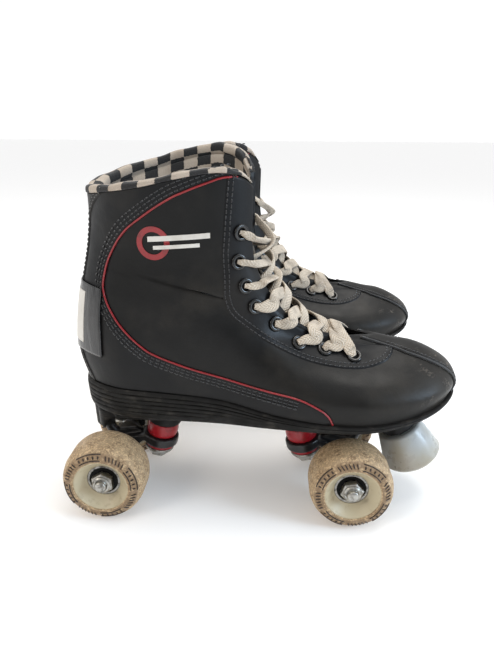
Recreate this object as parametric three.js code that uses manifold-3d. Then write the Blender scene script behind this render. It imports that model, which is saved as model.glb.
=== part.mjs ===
// A pair of quad roller skates: high laced boots on plates with two sprung trucks and four wheels each.
// Millimetres. +X runs to the toes, +Y to the left skate, +Z up. The origin lies on the floor, in the
// middle of the pair. Each skate is modelled as a right skate in a frame of its own, whose origin is on
// the floor midway between its axles, with its outer side at -Y; the left skate is its mirror image.
import * as THREE from 'three';
import { mergeVertices } from 'three/addons/utils/BufferGeometryUtils.js';
import Module from 'manifold-3d';

const wasm = await Module();
wasm.setup();

// ---------------------------------------------------------------- driving dimensions

const GAP = 0.3;                    // clearance between pieces that touch on the real object
const SOFT_GAP = 0.8;               // clearance between curved soft layers
const SKATE_SPACING = 132;          // centre line to centre line of the two skates
const MIDDLE_X = 21.5;              // middle of a skate's length, ahead of the middle of its wheelbase

const WHEEL_RADIUS = 27;
const WHEEL_HALF_WIDTH = 16;
const WHEEL_SIDES = 20;             // a multiple of four, so that a flat facet of tread meets the floor
const HALF_WHEELBASE = 80.45;
const HALF_TRACK = 38;              // skate centre line to wheel centre
const AXLE_RADIUS = 3.9;
const AXLE_HALF_LENGTH = 55.1;
const BEARING_RADIUS = 11;
const BEARING_REACH = 8;            // wheel centre to the outer face of a bearing
const NUT_FLATS = 13;
const NUT_THICKNESS = 6;

const KINGPIN_LEAN = THREE.MathUtils.degToRad(12);
const RING = { x: 51.5, z: 33.5, radius: 12.5, half: 3.25, bore: 6.2 };
const PIVOT = { x: 90, z: 44, ball: 4.5, socket: 5, boss: 7.4 };
const CUSHION_RADIUS = 11.2;
const CUSHION_BORE = 5.6;
const UPPER_CUSHION_HEIGHT = 10.3;
const KINGPIN_TOP = 24;              // above the middle of the hanger's ring
const KINGPIN_RADIUS = 4.7;

const STOP_TILT = THREE.MathUtils.degToRad(27.5);
const STOP_FOOT = { x: 130.5, z: 24 };
const STOP_LENGTH = 27;
const STOP_SOCKET_RADIUS = 12.5;

const UPPER_THICKNESS = 3;
const MEDIAL_WIDTH = 0.94;          // width of the inner side of the boot against its outer side
const MEDIAL_COLLAR_LIFT = 10;      // how far the collar rises higher on the inner side
const STEPS_PER_SIDE = 12;          // facets along one side of the boot, from heel seam to toe
const PLATE_HALF_WIDTH = 23;

// Heights of the seam between upper and sole, and of the sole's underside, along the skate: [x, z].
const FEATHERLINE = [[-100, 87], [-45, 85.5], [-5, 82.5], [32, 75.5], [70, 73], [105, 74.5], [135, 79.5],
  [150, 83]];
const SOLE_UNDERSIDE = [[-100, 64], [-35, 63.4], [15, 63.8], [60, 66], [90, 67.5], [120, 71.5], [150, 78.5]];

// The boot's outline at that seam, on the outer side, from the heel to the toe: [x, half width].
const FOOT_OUTLINE = [[-97, 0], [-90.5, 17], [-70, 29], [-40, 32], [-5, 34], [30, 40], [62, 45], [92, 45],
  [120, 36], [140, 20], [148, 0]];

// The boot's outer side, from the seam with the sole (first row) up to the collar's edge (last row).
// Each row runs from the heel seam to the front centre line, as [x, half width, z].
const BOOT_ROWS = [
  FOOT_OUTLINE.map(([x, width]) => [x, width, curveAt(FEATHERLINE, x)]),
  [[-101, 0, 105], [-95.5, 16, 105], [-73, 31, 104], [-42, 34, 102], [-6, 36, 98], [30, 42, 92],
    [62, 46, 87], [92, 45.5, 86], [121, 36, 87], [142, 20, 88], [149.7, 0, 88]],
  [[-100.3, 0, 122], [-95, 15, 122], [-73, 31, 120], [-42, 35, 117], [-6, 37, 112], [30, 39, 104],
    [60, 40, 97], [90, 38.5, 95], [118, 30.5, 95], [138, 16.5, 96.5], [145, 0, 97]],
  [[-98, 0, 138], [-93, 14, 138], [-73, 29, 136], [-44, 34.5, 133], [-10, 37, 127], [24, 34, 117],
    [54, 30, 106.5], [84, 27.5, 102], [110, 22, 102.5], [129, 12.5, 103.5], [136, 0, 104]],
  [[-95.5, 0, 149], [-91, 13.5, 149], [-72, 28, 147], [-46, 34, 144], [-15, 36.5, 137], [15, 31.5, 129],
    [42, 22, 118], [66, 18, 111], [92, 16, 108.5], [114, 9.5, 109.5], [121.5, 0, 110.7]],
  [[-92.5, 0, 160], [-88.5, 13, 160], [-71, 26.5, 158], [-48, 33, 155], [-20, 36, 149], [8, 31.5, 142],
    [33, 21.5, 129], [56, 15.5, 119], [78, 13, 113.5], [96, 7, 113.3], [103, 0, 114]],
  [[-89, 0, 174], [-85.5, 12.5, 174], [-69, 25.5, 173], [-47, 32.5, 170], [-22, 35, 165], [2, 32, 157],
    [19, 25.5, 146], [34, 18, 135], [45, 11.5, 128.5], [52, 5.5, 126.5], [55, 0, 126.5]],
  [[-87, 0, 187], [-83.5, 12.5, 187], [-68, 26, 186.5], [-47, 33, 184], [-25, 35, 180], [-4, 33, 174],
    [9, 28, 166], [19, 21, 157.5], [26, 13.5, 151.5], [30, 6.5, 149], [31.5, 0, 148.5]],
  [[-86.3, 0, 197], [-82.5, 13, 197], [-67, 27, 197.5], [-47, 34.5, 197], [-26, 36.5, 195], [-7, 34.5, 191],
    [5, 29.5, 186], [13, 22.5, 179], [18, 15, 173], [20.5, 7.5, 170], [21.2, 0, 169]],
  [[-86.3, 0, 206], [-82.5, 13.5, 206.3], [-67, 28.5, 208.7], [-47, 36.5, 212], [-27, 38.5, 216.5],
    [-9, 36.5, 219.5], [3, 32, 219], [11, 25.5, 215.5], [16, 17.5, 209], [18.5, 8.5, 204], [19, 0, 203]],
];
const TOP_ROW = BOOT_ROWS.length - 1;
const FRONT = BOOT_ROWS[0].length - 1;

// Half width of the throat between the two eyelet stays, along the skate: [x, half width].
const THROAT = [[0, 21], [16, 21], [30, 17], [60, 13.5], [80, 11], [88, 6]];
const THROAT_END = 91;

// Eyelets from the top one down: [position along the rows, row, row where the lace crosses the front].
const EYELETS = [[6.3, 8.1, 8.6], [5.85, 7.15, 8], [5.65, 6.3, 7.35], [5.5, 5.45, 6.75], [5.8, 4.9, 6.33],
  [6.05, 3.85, 6.1], [6.75, 3.85, 5.7], [7.35, 3.65, 5.4]];

// ---------------------------------------------------------------- materials

function material(color, roughness, metalness = 0) {
  return new THREE.MeshStandardMaterial({ color, roughness, metalness });
}

const MATERIALS = {
  upper: material(0x1d1d1f, 0.45),
  lining: material(0xb9ab98, 0.95),
  tongue: material(0x1b1a1a, 0.8),
  insole: material(0x8a7d6b, 0.95),
  sole: material(0x1e1c1b, 0.75),
  plate: material(0x141414, 0.5),
  lace: material(0xcdc2b2, 0.95),
  stop: material(0xc9ccd2, 0.5),
  urethane: material(0xa98f66, 0.6),
  cushion: material(0xb3161f, 0.45),
  hanger: material(0x17171a, 0.5, 0.4),
  zinc: material(0xa9a9a6, 0.35, 1),
  bearing: material(0x8d8a84, 0.35, 1),
};

// ---------------------------------------------------------------- general geometry

// Value at x of a smooth curve through [x, value] points.
function curveAt(points, x) {
  const last = points.length - 1;
  let k = 0;
  while (k < last - 1 && x > points[k + 1][0]) k += 1;
  const slope = (i) => {
    const before = points[Math.max(i - 1, 0)];
    const after = points[Math.min(i + 1, last)];
    return (after[1] - before[1]) / (after[0] - before[0]);
  };
  const span = points[k + 1][0] - points[k][0];
  const t = THREE.MathUtils.clamp((x - points[k][0]) / span, 0, 1);
  const s = 1 - t;
  return points[k][1] * (1 + 2 * t) * s * s + span * slope(k) * t * s * s
    + points[k + 1][1] * (1 + 2 * s) * t * t - span * slope(k + 1) * s * t * t;
}

function meshGeometry(points, triangles) {
  const geometry = new THREE.BufferGeometry();
  geometry.setAttribute('position', new THREE.Float32BufferAttribute(points.flat(), 3));
  geometry.setIndex(triangles.flat());
  return geometry;
}

// A closed solid through rings of equal length. Point j of a ring faces point n - j across it,
// so the two end caps are strips from side to side.
function loft(rings) {
  const n = rings[0].length;
  const triangles = [];
  for (let i = 0; i < rings.length - 1; i += 1) {
    for (let j = 0; j < n; j += 1) {
      const a = i * n + j;
      const b = i * n + (j + 1) % n;
      triangles.push([a, b, b + n], [a, b + n, a + n]);
    }
  }
  const top = (rings.length - 1) * n;
  for (let j = 0; j < n / 2; j += 1) {
    const right = [j, j + 1];
    const left = [(n - j - 1) % n, (n - j) % n];
    const cap = [[right[0], right[1], left[0]], [right[0], left[0], left[1]]];
    const whole = cap.filter((corners) => new Set(corners).size === 3);
    whole.forEach(([a, b, c]) => triangles.push([a, c, b], [top + a, top + b, top + c]));
  }
  const geometry = meshGeometry(rings.flat(), triangles);
  return signedVolume(geometry) < 0 ? turnedInsideOut(geometry) : geometry;
}

function signedVolume(geometry) {
  const { position } = geometry.attributes;
  const corner = [0, 1, 2].map(() => new THREE.Vector3());
  let volume = 0;
  for (let i = 0; i < geometry.index.count; i += 3) {
    corner.forEach((point, k) => point.fromBufferAttribute(position, geometry.index.getX(i + k)));
    volume += corner[0].dot(corner[1].clone().cross(corner[2])) / 6;
  }
  return volume;
}

function turnedInsideOut(geometry) {
  const flipped = geometry.clone();
  const { array } = flipped.index;
  for (let i = 0; i < array.length; i += 3) [array[i], array[i + 1]] = [array[i + 1], array[i]];
  return flipped;
}

function mirroredInY(geometry) {
  return turnedInsideOut(geometry.clone().scale(1, -1, 1));
}

// Geometry with shared vertices merged and only positions left.
function welded(geometry) {
  const plain = geometry.clone();
  plain.deleteAttribute('normal');
  plain.deleteAttribute('uv');
  return mergeVertices(plain, 1e-3);
}

function solid(geometry) {
  const plain = welded(geometry);
  return new wasm.Manifold(new wasm.Mesh({
    numProp: 3,
    vertProperties: new Float32Array(plain.attributes.position.array),
    triVerts: new Uint32Array(plain.index.array),
  }));
}

function geometryOf(body) {
  const mesh = body.getMesh();
  const geometry = new THREE.BufferGeometry();
  geometry.setAttribute('position', new THREE.BufferAttribute(new Float32Array(mesh.vertProperties), 3));
  geometry.setIndex(new THREE.BufferAttribute(new Uint32Array(mesh.triVerts), 1));
  return geometry;
}

// A solid of revolution about Y from [radius, height] points; a profile off the axis closes on itself.
function turned(profile, sides) {
  const points = profile.map(([radius, height]) => new THREE.Vector2(radius, height));
  if (profile[0][0] > 0) points.push(points[0].clone());
  const geometry = welded(new THREE.LatheGeometry(points, sides));
  const whole = withoutSlivers(geometry);
  return signedVolume(whole) < 0 ? turnedInsideOut(whole) : whole;
}

// Drops the triangles that collapse where a profile meets its axis.
function withoutSlivers(geometry) {
  const kept = [];
  const { array } = geometry.index;
  for (let i = 0; i < array.length; i += 3) {
    const corners = [array[i], array[i + 1], array[i + 2]];
    if (new Set(corners).size === 3) kept.push(...corners);
  }
  geometry.setIndex(kept);
  return geometry;
}

function turnedAboutZ(profile, sides) {
  return turned(profile, sides).rotateX(Math.PI / 2);
}

function cylinderAboutZ(radius, low, high, sides) {
  return turnedAboutZ([[0, low], [radius, low], [radius, high], [0, high]], sides);
}

// A side-view outline of [x, z] points, extruded evenly to both sides of the centre line.
function slab(outline, halfWidth) {
  const shape = new THREE.Shape(outline.map(([x, z]) => new THREE.Vector2(x, z)));
  const geometry = new THREE.ExtrudeGeometry(shape, { depth: 2 * halfWidth, bevelEnabled: false });
  return welded(geometry.rotateX(Math.PI / 2).translate(0, halfWidth, 0));
}

// Moves geometry built about Z at the origin onto the kingpin's leaning axis, at the hanger ring.
function ontoKingpin(geometry) {
  return geometry.rotateY(-KINGPIN_LEAN).translate(RING.x, 0, RING.z);
}

// ---------------------------------------------------------------- boot surface

function rowPoint(row, station) {
  if (station < 0) {
    const [x, width, z] = rowPoint(row, -station);
    return [x, -width, z];
  }
  if (station > FRONT) {
    const [x, width, z] = rowPoint(row, 2 * FRONT - station);
    return [x, -width, z];
  }
  const inside = THREE.MathUtils.clamp(row, 0, TOP_ROW);
  const point = BOOT_ROWS[inside][station];
  if (row === inside) return point;
  const neighbour = BOOT_ROWS[row < 0 ? 1 : TOP_ROW - 1][station];
  return point.map((value, k) => value + (value - neighbour[k]) * Math.abs(row - inside));
}

function splineWeights(t) {
  return [
    (-t * t * t + 2 * t * t - t) / 2,
    (3 * t * t * t - 5 * t * t + 2) / 2,
    (-3 * t * t * t + 4 * t * t + t) / 2,
    (t * t * t - t * t) / 2,
  ];
}

// Point on the boot: side is -1 outside and 1 inside, u runs from heel seam to front, v up the rows.
function skinPoint(side, u, v) {
  const station = Math.floor(u);
  const row = Math.floor(v);
  const alongRow = splineWeights(u - station);
  const acrossRows = splineWeights(v - row);
  const sum = [0, 0, 0];
  acrossRows.forEach((rowWeight, i) => alongRow.forEach((stationWeight, j) => {
    const point = rowPoint(row + i - 1, station + j - 1);
    point.forEach((value, k) => { sum[k] += value * rowWeight * stationWeight; });
  }));
  const [x, width, z] = sum;
  if (side < 0) return new THREE.Vector3(x, -width, z);
  const rise = THREE.MathUtils.smoothstep(v, TOP_ROW - 3, TOP_ROW);
  const share = THREE.MathUtils.clamp(u / FRONT, 0, 1);
  const lift = MEDIAL_COLLAR_LIFT * rise * Math.sin(Math.PI * share) * (1.45 - 0.9 * share);
  return new THREE.Vector3(x, width * MEDIAL_WIDTH, z + lift);
}

// Point at a depth below the boot's skin; a negative depth stands proud of it.
function bootPoint(side, u, v, depth = 0) {
  const step = 0.05;
  const point = skinPoint(side, u, v);
  const along = skinPoint(side, u + step, v).sub(skinPoint(side, u - step, v));
  const up = skinPoint(side, u, v + step).sub(skinPoint(side, u, v - step));
  const outward = along.cross(up).normalize().multiplyScalar(-side);
  return point.addScaledVector(outward, -depth);
}

// A ring round the boot: back from the heel seam along the outer side to the front, then the inner side.
function bootRing(v, depth, place = (point) => point.toArray()) {
  const ring = [];
  for (let j = 0; j < 2 * STEPS_PER_SIDE; j += 1) {
    const outside = j <= STEPS_PER_SIDE;
    const step = outside ? j : 2 * STEPS_PER_SIDE - j;
    ring.push(place(bootPoint(outside ? -1 : 1, step * FRONT / STEPS_PER_SIDE, v, depth)));
  }
  return ring;
}

// ---------------------------------------------------------------- boot pieces

function bootUpper() {
  const skinRows = [0, 0.5, 1, 1.5, 2, 2.75, 3.5, 4.25, 5, 5.75, 6.5, 7.25, 8.1, TOP_ROW];
  const cavityRows = [0.15, 0.6, 1.2, 2, 2.75, 3.5, 4.25, 5, 5.75, 6.5, 7.25, 8.1, TOP_ROW];
  const above = 20;
  const cavity = cavityRows.map((v) => bootRing(v, UPPER_THICKNESS));
  cavity.push(bootRing(TOP_ROW, UPPER_THICKNESS, ({ x, y, z }) => [x, y, z + above]));
  const body = solid(loft(skinRows.map((v) => bootRing(v, 0))))
    .subtract(solid(loft(cavity)))
    .subtract(solid(throatCutter()));
  return geometryOf(body);
}

// The upright prism that opens the boot between its two eyelet stays.
function throatCutter() {
  const low = 98;
  const high = 260;
  const edge = THROAT.map(([x]) => new THREE.Vector2(x, curveAt(THROAT, x)));
  const otherEdge = edge.map(({ x, y }) => new THREE.Vector2(x, -y)).reverse();
  const shape = new THREE.Shape([...edge, new THREE.Vector2(THROAT_END, 0), ...otherEdge]);
  return new THREE.ExtrudeGeometry(shape, { depth: high - low, bevelEnabled: false }).translate(0, 0, low);
}

// The padded lining: a thick skin inside the shaft that rolls over the collar's edge.
function collarLining() {
  const sections = STEPS_PER_SIDE - 3;
  const frontEnd = sections * FRONT / STEPS_PER_SIDE;
  const outerDepth = UPPER_THICKNESS + SOFT_GAP;
  const levels = [5.75, 6.5, 7.25, 8.1];
  const rings = [];
  for (let i = -sections; i <= sections; i += 1) {
    const side = i <= 0 ? -1 : 1;
    const u = Math.abs(i) * frontEnd / sections;
    const padding = THREE.MathUtils.lerp(5, 2, THREE.MathUtils.smoothstep(u, 5, frontEnd));
    const rollHeight = THREE.MathUtils.lerp(5, 3, THREE.MathUtils.smoothstep(u, 0, 4));
    const steepness = THREE.MathUtils.smoothstep(u, 5.5, frontEnd);
    const rim = (depth, rise) => bootPoint(side, u, TOP_ROW, depth)
      .add(new THREE.Vector3(0, 0, rise + steepness));
    const ring = [
      bootPoint(side, u, levels[0] - 0.03, outerDepth + padding / 2 + SOFT_GAP * steepness),
      bootPoint(side, u, levels[0], outerDepth + 3 * SOFT_GAP * steepness),
      ...levels.slice(1).map((v) => bootPoint(side, u, v, outerDepth)),
      rim(outerDepth, 3 * SOFT_GAP),
      rim(-0.8, 1.8 * SOFT_GAP),
      rim(-0.8, rollHeight * 0.7),
      rim(UPPER_THICKNESS, rollHeight),
      rim(outerDepth + padding, rollHeight * 0.5),
      rim(outerDepth + padding, 0),
      ...levels.map((v) => bootPoint(side, u, v, outerDepth + padding)).reverse(),
    ];
    rings.push(ring.map((point) => point.toArray()));
  }
  return loft(rings);
}

// The tongue: a padded strip behind the throat, from under the vamp to just above the collar.
function tongue() {
  const edge = 3;
  const stationStep = 1.05;
  const layers = [7.6, 11.1];
  const topHeight = 209;
  const levels = [5.2, 5.75, 6.5, 7.25, 8.1, TOP_ROW];
  const sheet = (v, depth) => {
    const strip = [];
    for (let i = -edge; i <= edge; i += 1) {
      const u = FRONT - Math.abs(i) * stationStep;
      strip.push(bootPoint(i < 0 ? -1 : 1, u, v, depth));
    }
    return strip;
  };
  const rings = levels.map((v) => [...sheet(v, layers[0]), ...sheet(v, layers[1]).reverse()]);
  rings.push(rings[rings.length - 1].map(({ x, y }) => new THREE.Vector3(x, y, topHeight)));
  return loft(rings.map((ring) => ring.map((point) => point.toArray())));
}

function insole() {
  const edge = UPPER_THICKNESS + SOFT_GAP;
  const thickness = 4;
  const lowest = ({ x, y, z }) => [x, y, z + SOFT_GAP];
  const highest = ({ x, y, z }) => [x, y, z + SOFT_GAP + thickness];
  return loft([bootRing(0.15, edge, lowest), bootRing(0.15, edge, highest)]);
}

function outsole() {
  const layers = [
    { out: 0.5, height: 0 },
    { out: 2, height: 0.2 },
    { out: 2.6, height: 0.75 },
    { out: 1.6, height: 1 },
  ];
  return loft(layers.map(({ out, height }) => bootRing(0, -out, ({ x, y }) => {
    const low = curveAt(SOLE_UNDERSIDE, x);
    const high = curveAt(FEATHERLINE, x) - 2 * GAP;
    return [x, y, THREE.MathUtils.lerp(low, high, height)];
  })));
}

// A strip with eight sides that runs to and fro between the eyelets, proud of the stays.
function lace() {
  const clearance = 4.6;
  const across = [0, 0.35, 0.7, 1];
  const route = [];
  EYELETS.forEach(([u, v, crossing], i) => {
    const first = i % 2 === 0 ? -1 : 1;
    const { lerp } = THREE.MathUtils;
    const half = (side) => across.map(
      (t) => bootPoint(side, lerp(u, FRONT, t), lerp(v, crossing, t), -clearance),
    );
    route.push(...half(first), ...half(-first).reverse().slice(1));
  });
  const path = new THREE.CatmullRomCurve3(route, false, 'centripetal');
  const halfWidth = 2.5;
  const halfThickness = 0.9;
  const section = new THREE.Shape([
    new THREE.Vector2(-halfThickness, -halfWidth),
    new THREE.Vector2(halfThickness, -halfWidth),
    new THREE.Vector2(halfThickness, halfWidth),
    new THREE.Vector2(-halfThickness, halfWidth),
  ]);
  return new THREE.ExtrudeGeometry(section, { steps: 88, bevelEnabled: false, extrudePath: path });
}

// ---------------------------------------------------------------- plate and toe stop

function ontoStopAxis(geometry) {
  return geometry.rotateY(-STOP_TILT).translate(STOP_FOOT.x, 0, STOP_FOOT.z);
}

function toeStop() {
  const profile = [
    [0, 0], [18.3, 0], [20.8, 2.5], [15.3, STOP_LENGTH - 1], [14.3, STOP_LENGTH], [0, STOP_LENGTH],
  ];
  return ontoStopAxis(turnedAboutZ(profile, 16));
}

function basePlate() {
  const seam = (stations, drop) => stations.map((x) => [x, curveAt(SOLE_UNDERSIDE, x) - drop]);
  const spine = [...seam([117, 90, 60, 30, 0, -35, -70, -96], 3 * GAP),
    [-95, 49.5], [-88, 49.5], [-86, 54.5], [-77, 58.5], [-30, 58.5], [30, 60], [66, 57.5], [100, 59],
    [117, 65]];
  const heelCurve = [[-84, 19], [-90, 13.5], [-93.5, 5], [-93.5, -5], [-90, -13.5], [-84, -19]];
  const plan = slab([[118, -19], [118, 19], ...heelCurve], 20).rotateX(Math.PI / 2).translate(0, 0, 60);
  const wings = [...seam([110, 90, 60, 30, 0, -35, -60, -77], 3 * GAP),
    [-77, 58.8], [-60, 58.8], [60, 60], [100, 62], [110, 66]];
  let body = solid(slab(spine, PLATE_HALF_WIDTH - 4)).intersect(solid(plan))
    .add(solid(slab(wings, PLATE_HALF_WIDTH)));
  const cushionTop = RING.half + GAP + UPPER_CUSHION_HEIGHT + GAP;
  const bossTop = KINGPIN_TOP + 3;
  [0, Math.PI].forEach((turn) => {
    const placed = (geometry) => solid(ontoKingpin(geometry).rotateZ(turn));
    const pivot = (geometry) => solid(geometry.translate(PIVOT.x, 0, PIVOT.z).rotateZ(turn));
    body = body.add(placed(cylinderAboutZ(CUSHION_RADIUS + 1, cushionTop, bossTop, 14)))
      .add(pivot(cylinderAboutZ(PIVOT.boss, -0.5, 16, 12)))
      .subtract(placed(cylinderAboutZ(KINGPIN_RADIUS + GAP, 0, KINGPIN_TOP + GAP, 10)))
      .subtract(pivot(cylinderAboutZ(PIVOT.socket, -4, 6, 10)));
  });
  const socket = ontoStopAxis(cylinderAboutZ(STOP_SOCKET_RADIUS, STOP_LENGTH + GAP, STOP_LENGTH + 17, 14));
  return geometryOf(body.add(solid(socket)));
}

// ---------------------------------------------------------------- truck, built as the front one

function hanger() {
  const tube = cylinderAboutZ(8, -20.6, 20.6, 10).rotateX(Math.PI / 2);
  const spigot = cylinderAboutZ(6.2, -29.6, 29.6, 10).rotateX(Math.PI / 2);
  const axleBore = cylinderAboutZ(AXLE_RADIUS + GAP, -31, 31, 10).rotateX(Math.PI / 2);
  const onAxle = (geometry) => solid(geometry.translate(HALF_WHEELBASE, 0, WHEEL_RADIUS));
  const ring = ontoKingpin(cylinderAboutZ(RING.radius, -RING.half, RING.half, 14));
  const bore = ontoKingpin(cylinderAboutZ(RING.bore, -8, 8, 10));
  const web = slab([[61, 34.8], [61, 38], [78, 34.8], [86, 28], [78, 19.5], [70, 22], [66, 31]], 8);
  const reach = new THREE.Vector2(PIVOT.x - HALF_WHEELBASE, PIVOT.z - WHEEL_RADIUS);
  const pin = cylinderAboutZ(3.6, 0, reach.length(), 8).rotateY(Math.atan2(reach.x, reach.y));
  const ball = new THREE.SphereGeometry(PIVOT.ball, 8, 6).translate(PIVOT.x, 0, PIVOT.z);
  const body = onAxle(tube).add(onAxle(spigot)).add(onAxle(pin)).add(solid(web)).add(solid(ring))
    .add(solid(ball)).subtract(solid(bore)).subtract(onAxle(axleBore));
  return geometryOf(body);
}

// The king bolt, its cup washer and its nut, which turn as one.
function kingpin() {
  const cup = { outer: 10.6, inner: 9.6, lip: -6.2, floor: -9.3, underside: -10.8 };
  const nut = { radius: 7, low: -14 };
  const profile = [
    [0, -15], [4, -15], [4, nut.low], [nut.radius, nut.low], [nut.radius, cup.underside],
    [cup.outer, cup.underside], [cup.outer, cup.lip], [cup.inner, cup.lip], [cup.inner, cup.floor],
    [KINGPIN_RADIUS, cup.floor], [KINGPIN_RADIUS, KINGPIN_TOP], [0, KINGPIN_TOP],
  ];
  return ontoKingpin(turnedAboutZ(profile, 12));
}

function upperCushion() {
  const low = RING.half + GAP;
  const high = low + UPPER_CUSHION_HEIGHT;
  const profile = [[CUSHION_BORE, low], [CUSHION_RADIUS, low], [CUSHION_RADIUS, high], [CUSHION_BORE, high]];
  return ontoKingpin(turnedAboutZ(profile, 14));
}

function lowerCushion() {
  const top = -RING.half - GAP;
  const rim = { radius: 10.6, low: -5.9 };
  const foot = { radius: 9, low: -9 };
  const profile = [
    [CUSHION_BORE, top], [rim.radius, top], [rim.radius, rim.low],
    [foot.radius, rim.low], [foot.radius, foot.low], [CUSHION_BORE, foot.low],
  ];
  return ontoKingpin(turnedAboutZ(profile, 14));
}

// A wheel's facets are set so that one of them lies flat on the floor.
function wheel() {
  const facetScale = 1 / Math.cos(Math.PI / WHEEL_SIDES);
  const half = [
    [WHEEL_RADIUS * facetScale, 5], [25 * facetScale, 13], [19, WHEEL_HALF_WIDTH],
    [BEARING_RADIUS + GAP, BEARING_REACH + GAP],
  ];
  const otherHalf = half.map(([radius, height]) => [radius, -height]).reverse();
  return turned([...half, ...otherHalf], WHEEL_SIDES).rotateY(Math.PI / WHEEL_SIDES);
}

// Two ball bearings and the spacer sleeve between them.
function bearings() {
  const bore = AXLE_RADIUS + GAP;
  const spacer = { radius: 6, half: 1 };
  const half = [
    [bore, BEARING_REACH], [BEARING_RADIUS, BEARING_REACH],
    [BEARING_RADIUS, spacer.half], [spacer.radius, spacer.half],
  ];
  const otherHalf = half.map(([radius, height]) => [radius, -height]).reverse();
  return turned([...half, ...otherHalf], 10);
}

function axle() {
  return turned([[0, -AXLE_HALF_LENGTH], [AXLE_RADIUS, -AXLE_HALF_LENGTH], [AXLE_RADIUS, AXLE_HALF_LENGTH],
    [0, AXLE_HALF_LENGTH]], 10);
}

function axleNut() {
  const corner = NUT_FLATS / 2 / Math.cos(Math.PI / 6);
  const bore = (AXLE_RADIUS + GAP) / Math.cos(Math.PI / 6);
  return turned([[bore, 0], [corner, 0], [corner, NUT_THICKNESS], [bore, NUT_THICKNESS]], 6);
}

// ---------------------------------------------------------------- assembly

const pair = new THREE.Group();
const shapes = {
  upper: bootUpper(),
  lining: collarLining(),
  tongue: tongue(),
  insole: insole(),
  outsole: outsole(),
  plate: basePlate(),
  lace: lace(),
  stop: toeStop(),
  hanger: hanger(),
  kingpin: kingpin(),
  upperCushion: upperCushion(),
  lowerCushion: lowerCushion(),
  axle: axle(),
  wheel: wheel(),
  bearings: bearings(),
  nut: axleNut(),
};

// Adds one skate; hand is -1 for the right skate and 1 for the left one, which is its mirror image.
function addSkate(prefix, hand) {
  const skate = new THREE.Group();
  skate.position.set(-MIDDLE_X, hand * SKATE_SPACING / 2, 0);
  pair.add(skate);

  const add = (group, name, shape, finish, position = [0, 0, 0]) => {
    const mesh = new THREE.Mesh(hand < 0 ? shape : mirroredInY(welded(shape)), finish.clone());
    mesh.name = `${prefix}_${name}`;
    mesh.position.set(...position);
    group.add(mesh);
  };

  add(skate, 'boot_upper', shapes.upper, MATERIALS.upper);
  add(skate, 'collar_lining', shapes.lining, MATERIALS.lining);
  add(skate, 'tongue', shapes.tongue, MATERIALS.tongue);
  add(skate, 'insole', shapes.insole, MATERIALS.insole);
  add(skate, 'outsole', shapes.outsole, MATERIALS.sole);
  add(skate, 'base_plate', shapes.plate, MATERIALS.plate);
  add(skate, 'lace', shapes.lace, MATERIALS.lace);
  add(skate, 'toe_stop', shapes.stop, MATERIALS.stop);

  [['front', 0], ['rear', Math.PI]].forEach(([end, turn]) => {
    const truck = new THREE.Group();
    truck.rotation.z = turn;
    skate.add(truck);
    add(truck, `${end}_hanger`, shapes.hanger, MATERIALS.hanger);
    add(truck, `${end}_kingpin`, shapes.kingpin, MATERIALS.zinc);
    add(truck, `${end}_upper_cushion`, shapes.upperCushion, MATERIALS.cushion);
    add(truck, `${end}_lower_cushion`, shapes.lowerCushion, MATERIALS.cushion);
    add(truck, `${end}_axle`, shapes.axle, MATERIALS.zinc, [HALF_WHEELBASE, 0, WHEEL_RADIUS]);
    ['outer', 'inner'].forEach((place) => {
      const towardOutside = place === 'outer' ? hand : -hand;
      const across = end === 'front' ? towardOutside : -towardOutside;
      const seat = [HALF_WHEELBASE, across * HALF_TRACK, WHEEL_RADIUS];
      add(truck, `${end}_${place}_wheel`, shapes.wheel, MATERIALS.urethane, seat);
      add(truck, `${end}_${place}_bearings`, shapes.bearings, MATERIALS.bearing, seat);
      const nutSeat = [seat[0], across * (HALF_TRACK + BEARING_REACH + GAP + NUT_THICKNESS / 2), seat[2]];
      const nut = shapes.nut.clone().translate(0, -NUT_THICKNESS / 2, 0);
      add(truck, `${end}_${place}_nut`, nut, MATERIALS.zinc, nutSeat);
    });
  });
}

addSkate('right', -1);
addSkate('left', 1);

export default pair;
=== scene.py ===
"""The visual model of a pair of quad roller skates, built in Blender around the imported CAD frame.

Everything is made once as a right skate, in millimetres, in that skate's own frame: the origin is on the
floor midway between the axles, +X runs to the toe, +Z is up, and the outer side of the boot is at -Y.
add_piece() then sets it down as the right skate or, mirrored, as the left one, in metres.
"""
import math

import bpy
import numpy as np
from mathutils import Matrix, Vector


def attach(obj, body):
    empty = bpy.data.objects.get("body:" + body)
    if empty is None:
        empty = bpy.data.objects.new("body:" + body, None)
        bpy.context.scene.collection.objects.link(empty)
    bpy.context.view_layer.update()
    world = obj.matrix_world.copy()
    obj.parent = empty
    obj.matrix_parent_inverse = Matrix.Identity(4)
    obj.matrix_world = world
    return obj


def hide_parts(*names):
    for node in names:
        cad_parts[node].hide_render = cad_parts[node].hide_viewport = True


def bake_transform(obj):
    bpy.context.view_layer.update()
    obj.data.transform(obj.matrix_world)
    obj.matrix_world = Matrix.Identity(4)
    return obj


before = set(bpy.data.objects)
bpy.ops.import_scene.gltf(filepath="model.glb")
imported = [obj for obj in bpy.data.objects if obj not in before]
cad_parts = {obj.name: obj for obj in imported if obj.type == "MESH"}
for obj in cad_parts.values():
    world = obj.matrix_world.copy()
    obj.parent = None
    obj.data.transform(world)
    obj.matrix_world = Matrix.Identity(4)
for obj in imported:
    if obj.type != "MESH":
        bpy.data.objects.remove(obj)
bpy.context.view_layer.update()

# ---------------------------------------------------------------- driving dimensions, in millimetres

MM = 0.001
SKATE_SPACING = 132
MIDDLE_X = 21.5                  # the middle of a skate's length, ahead of the middle of its wheelbase

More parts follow.
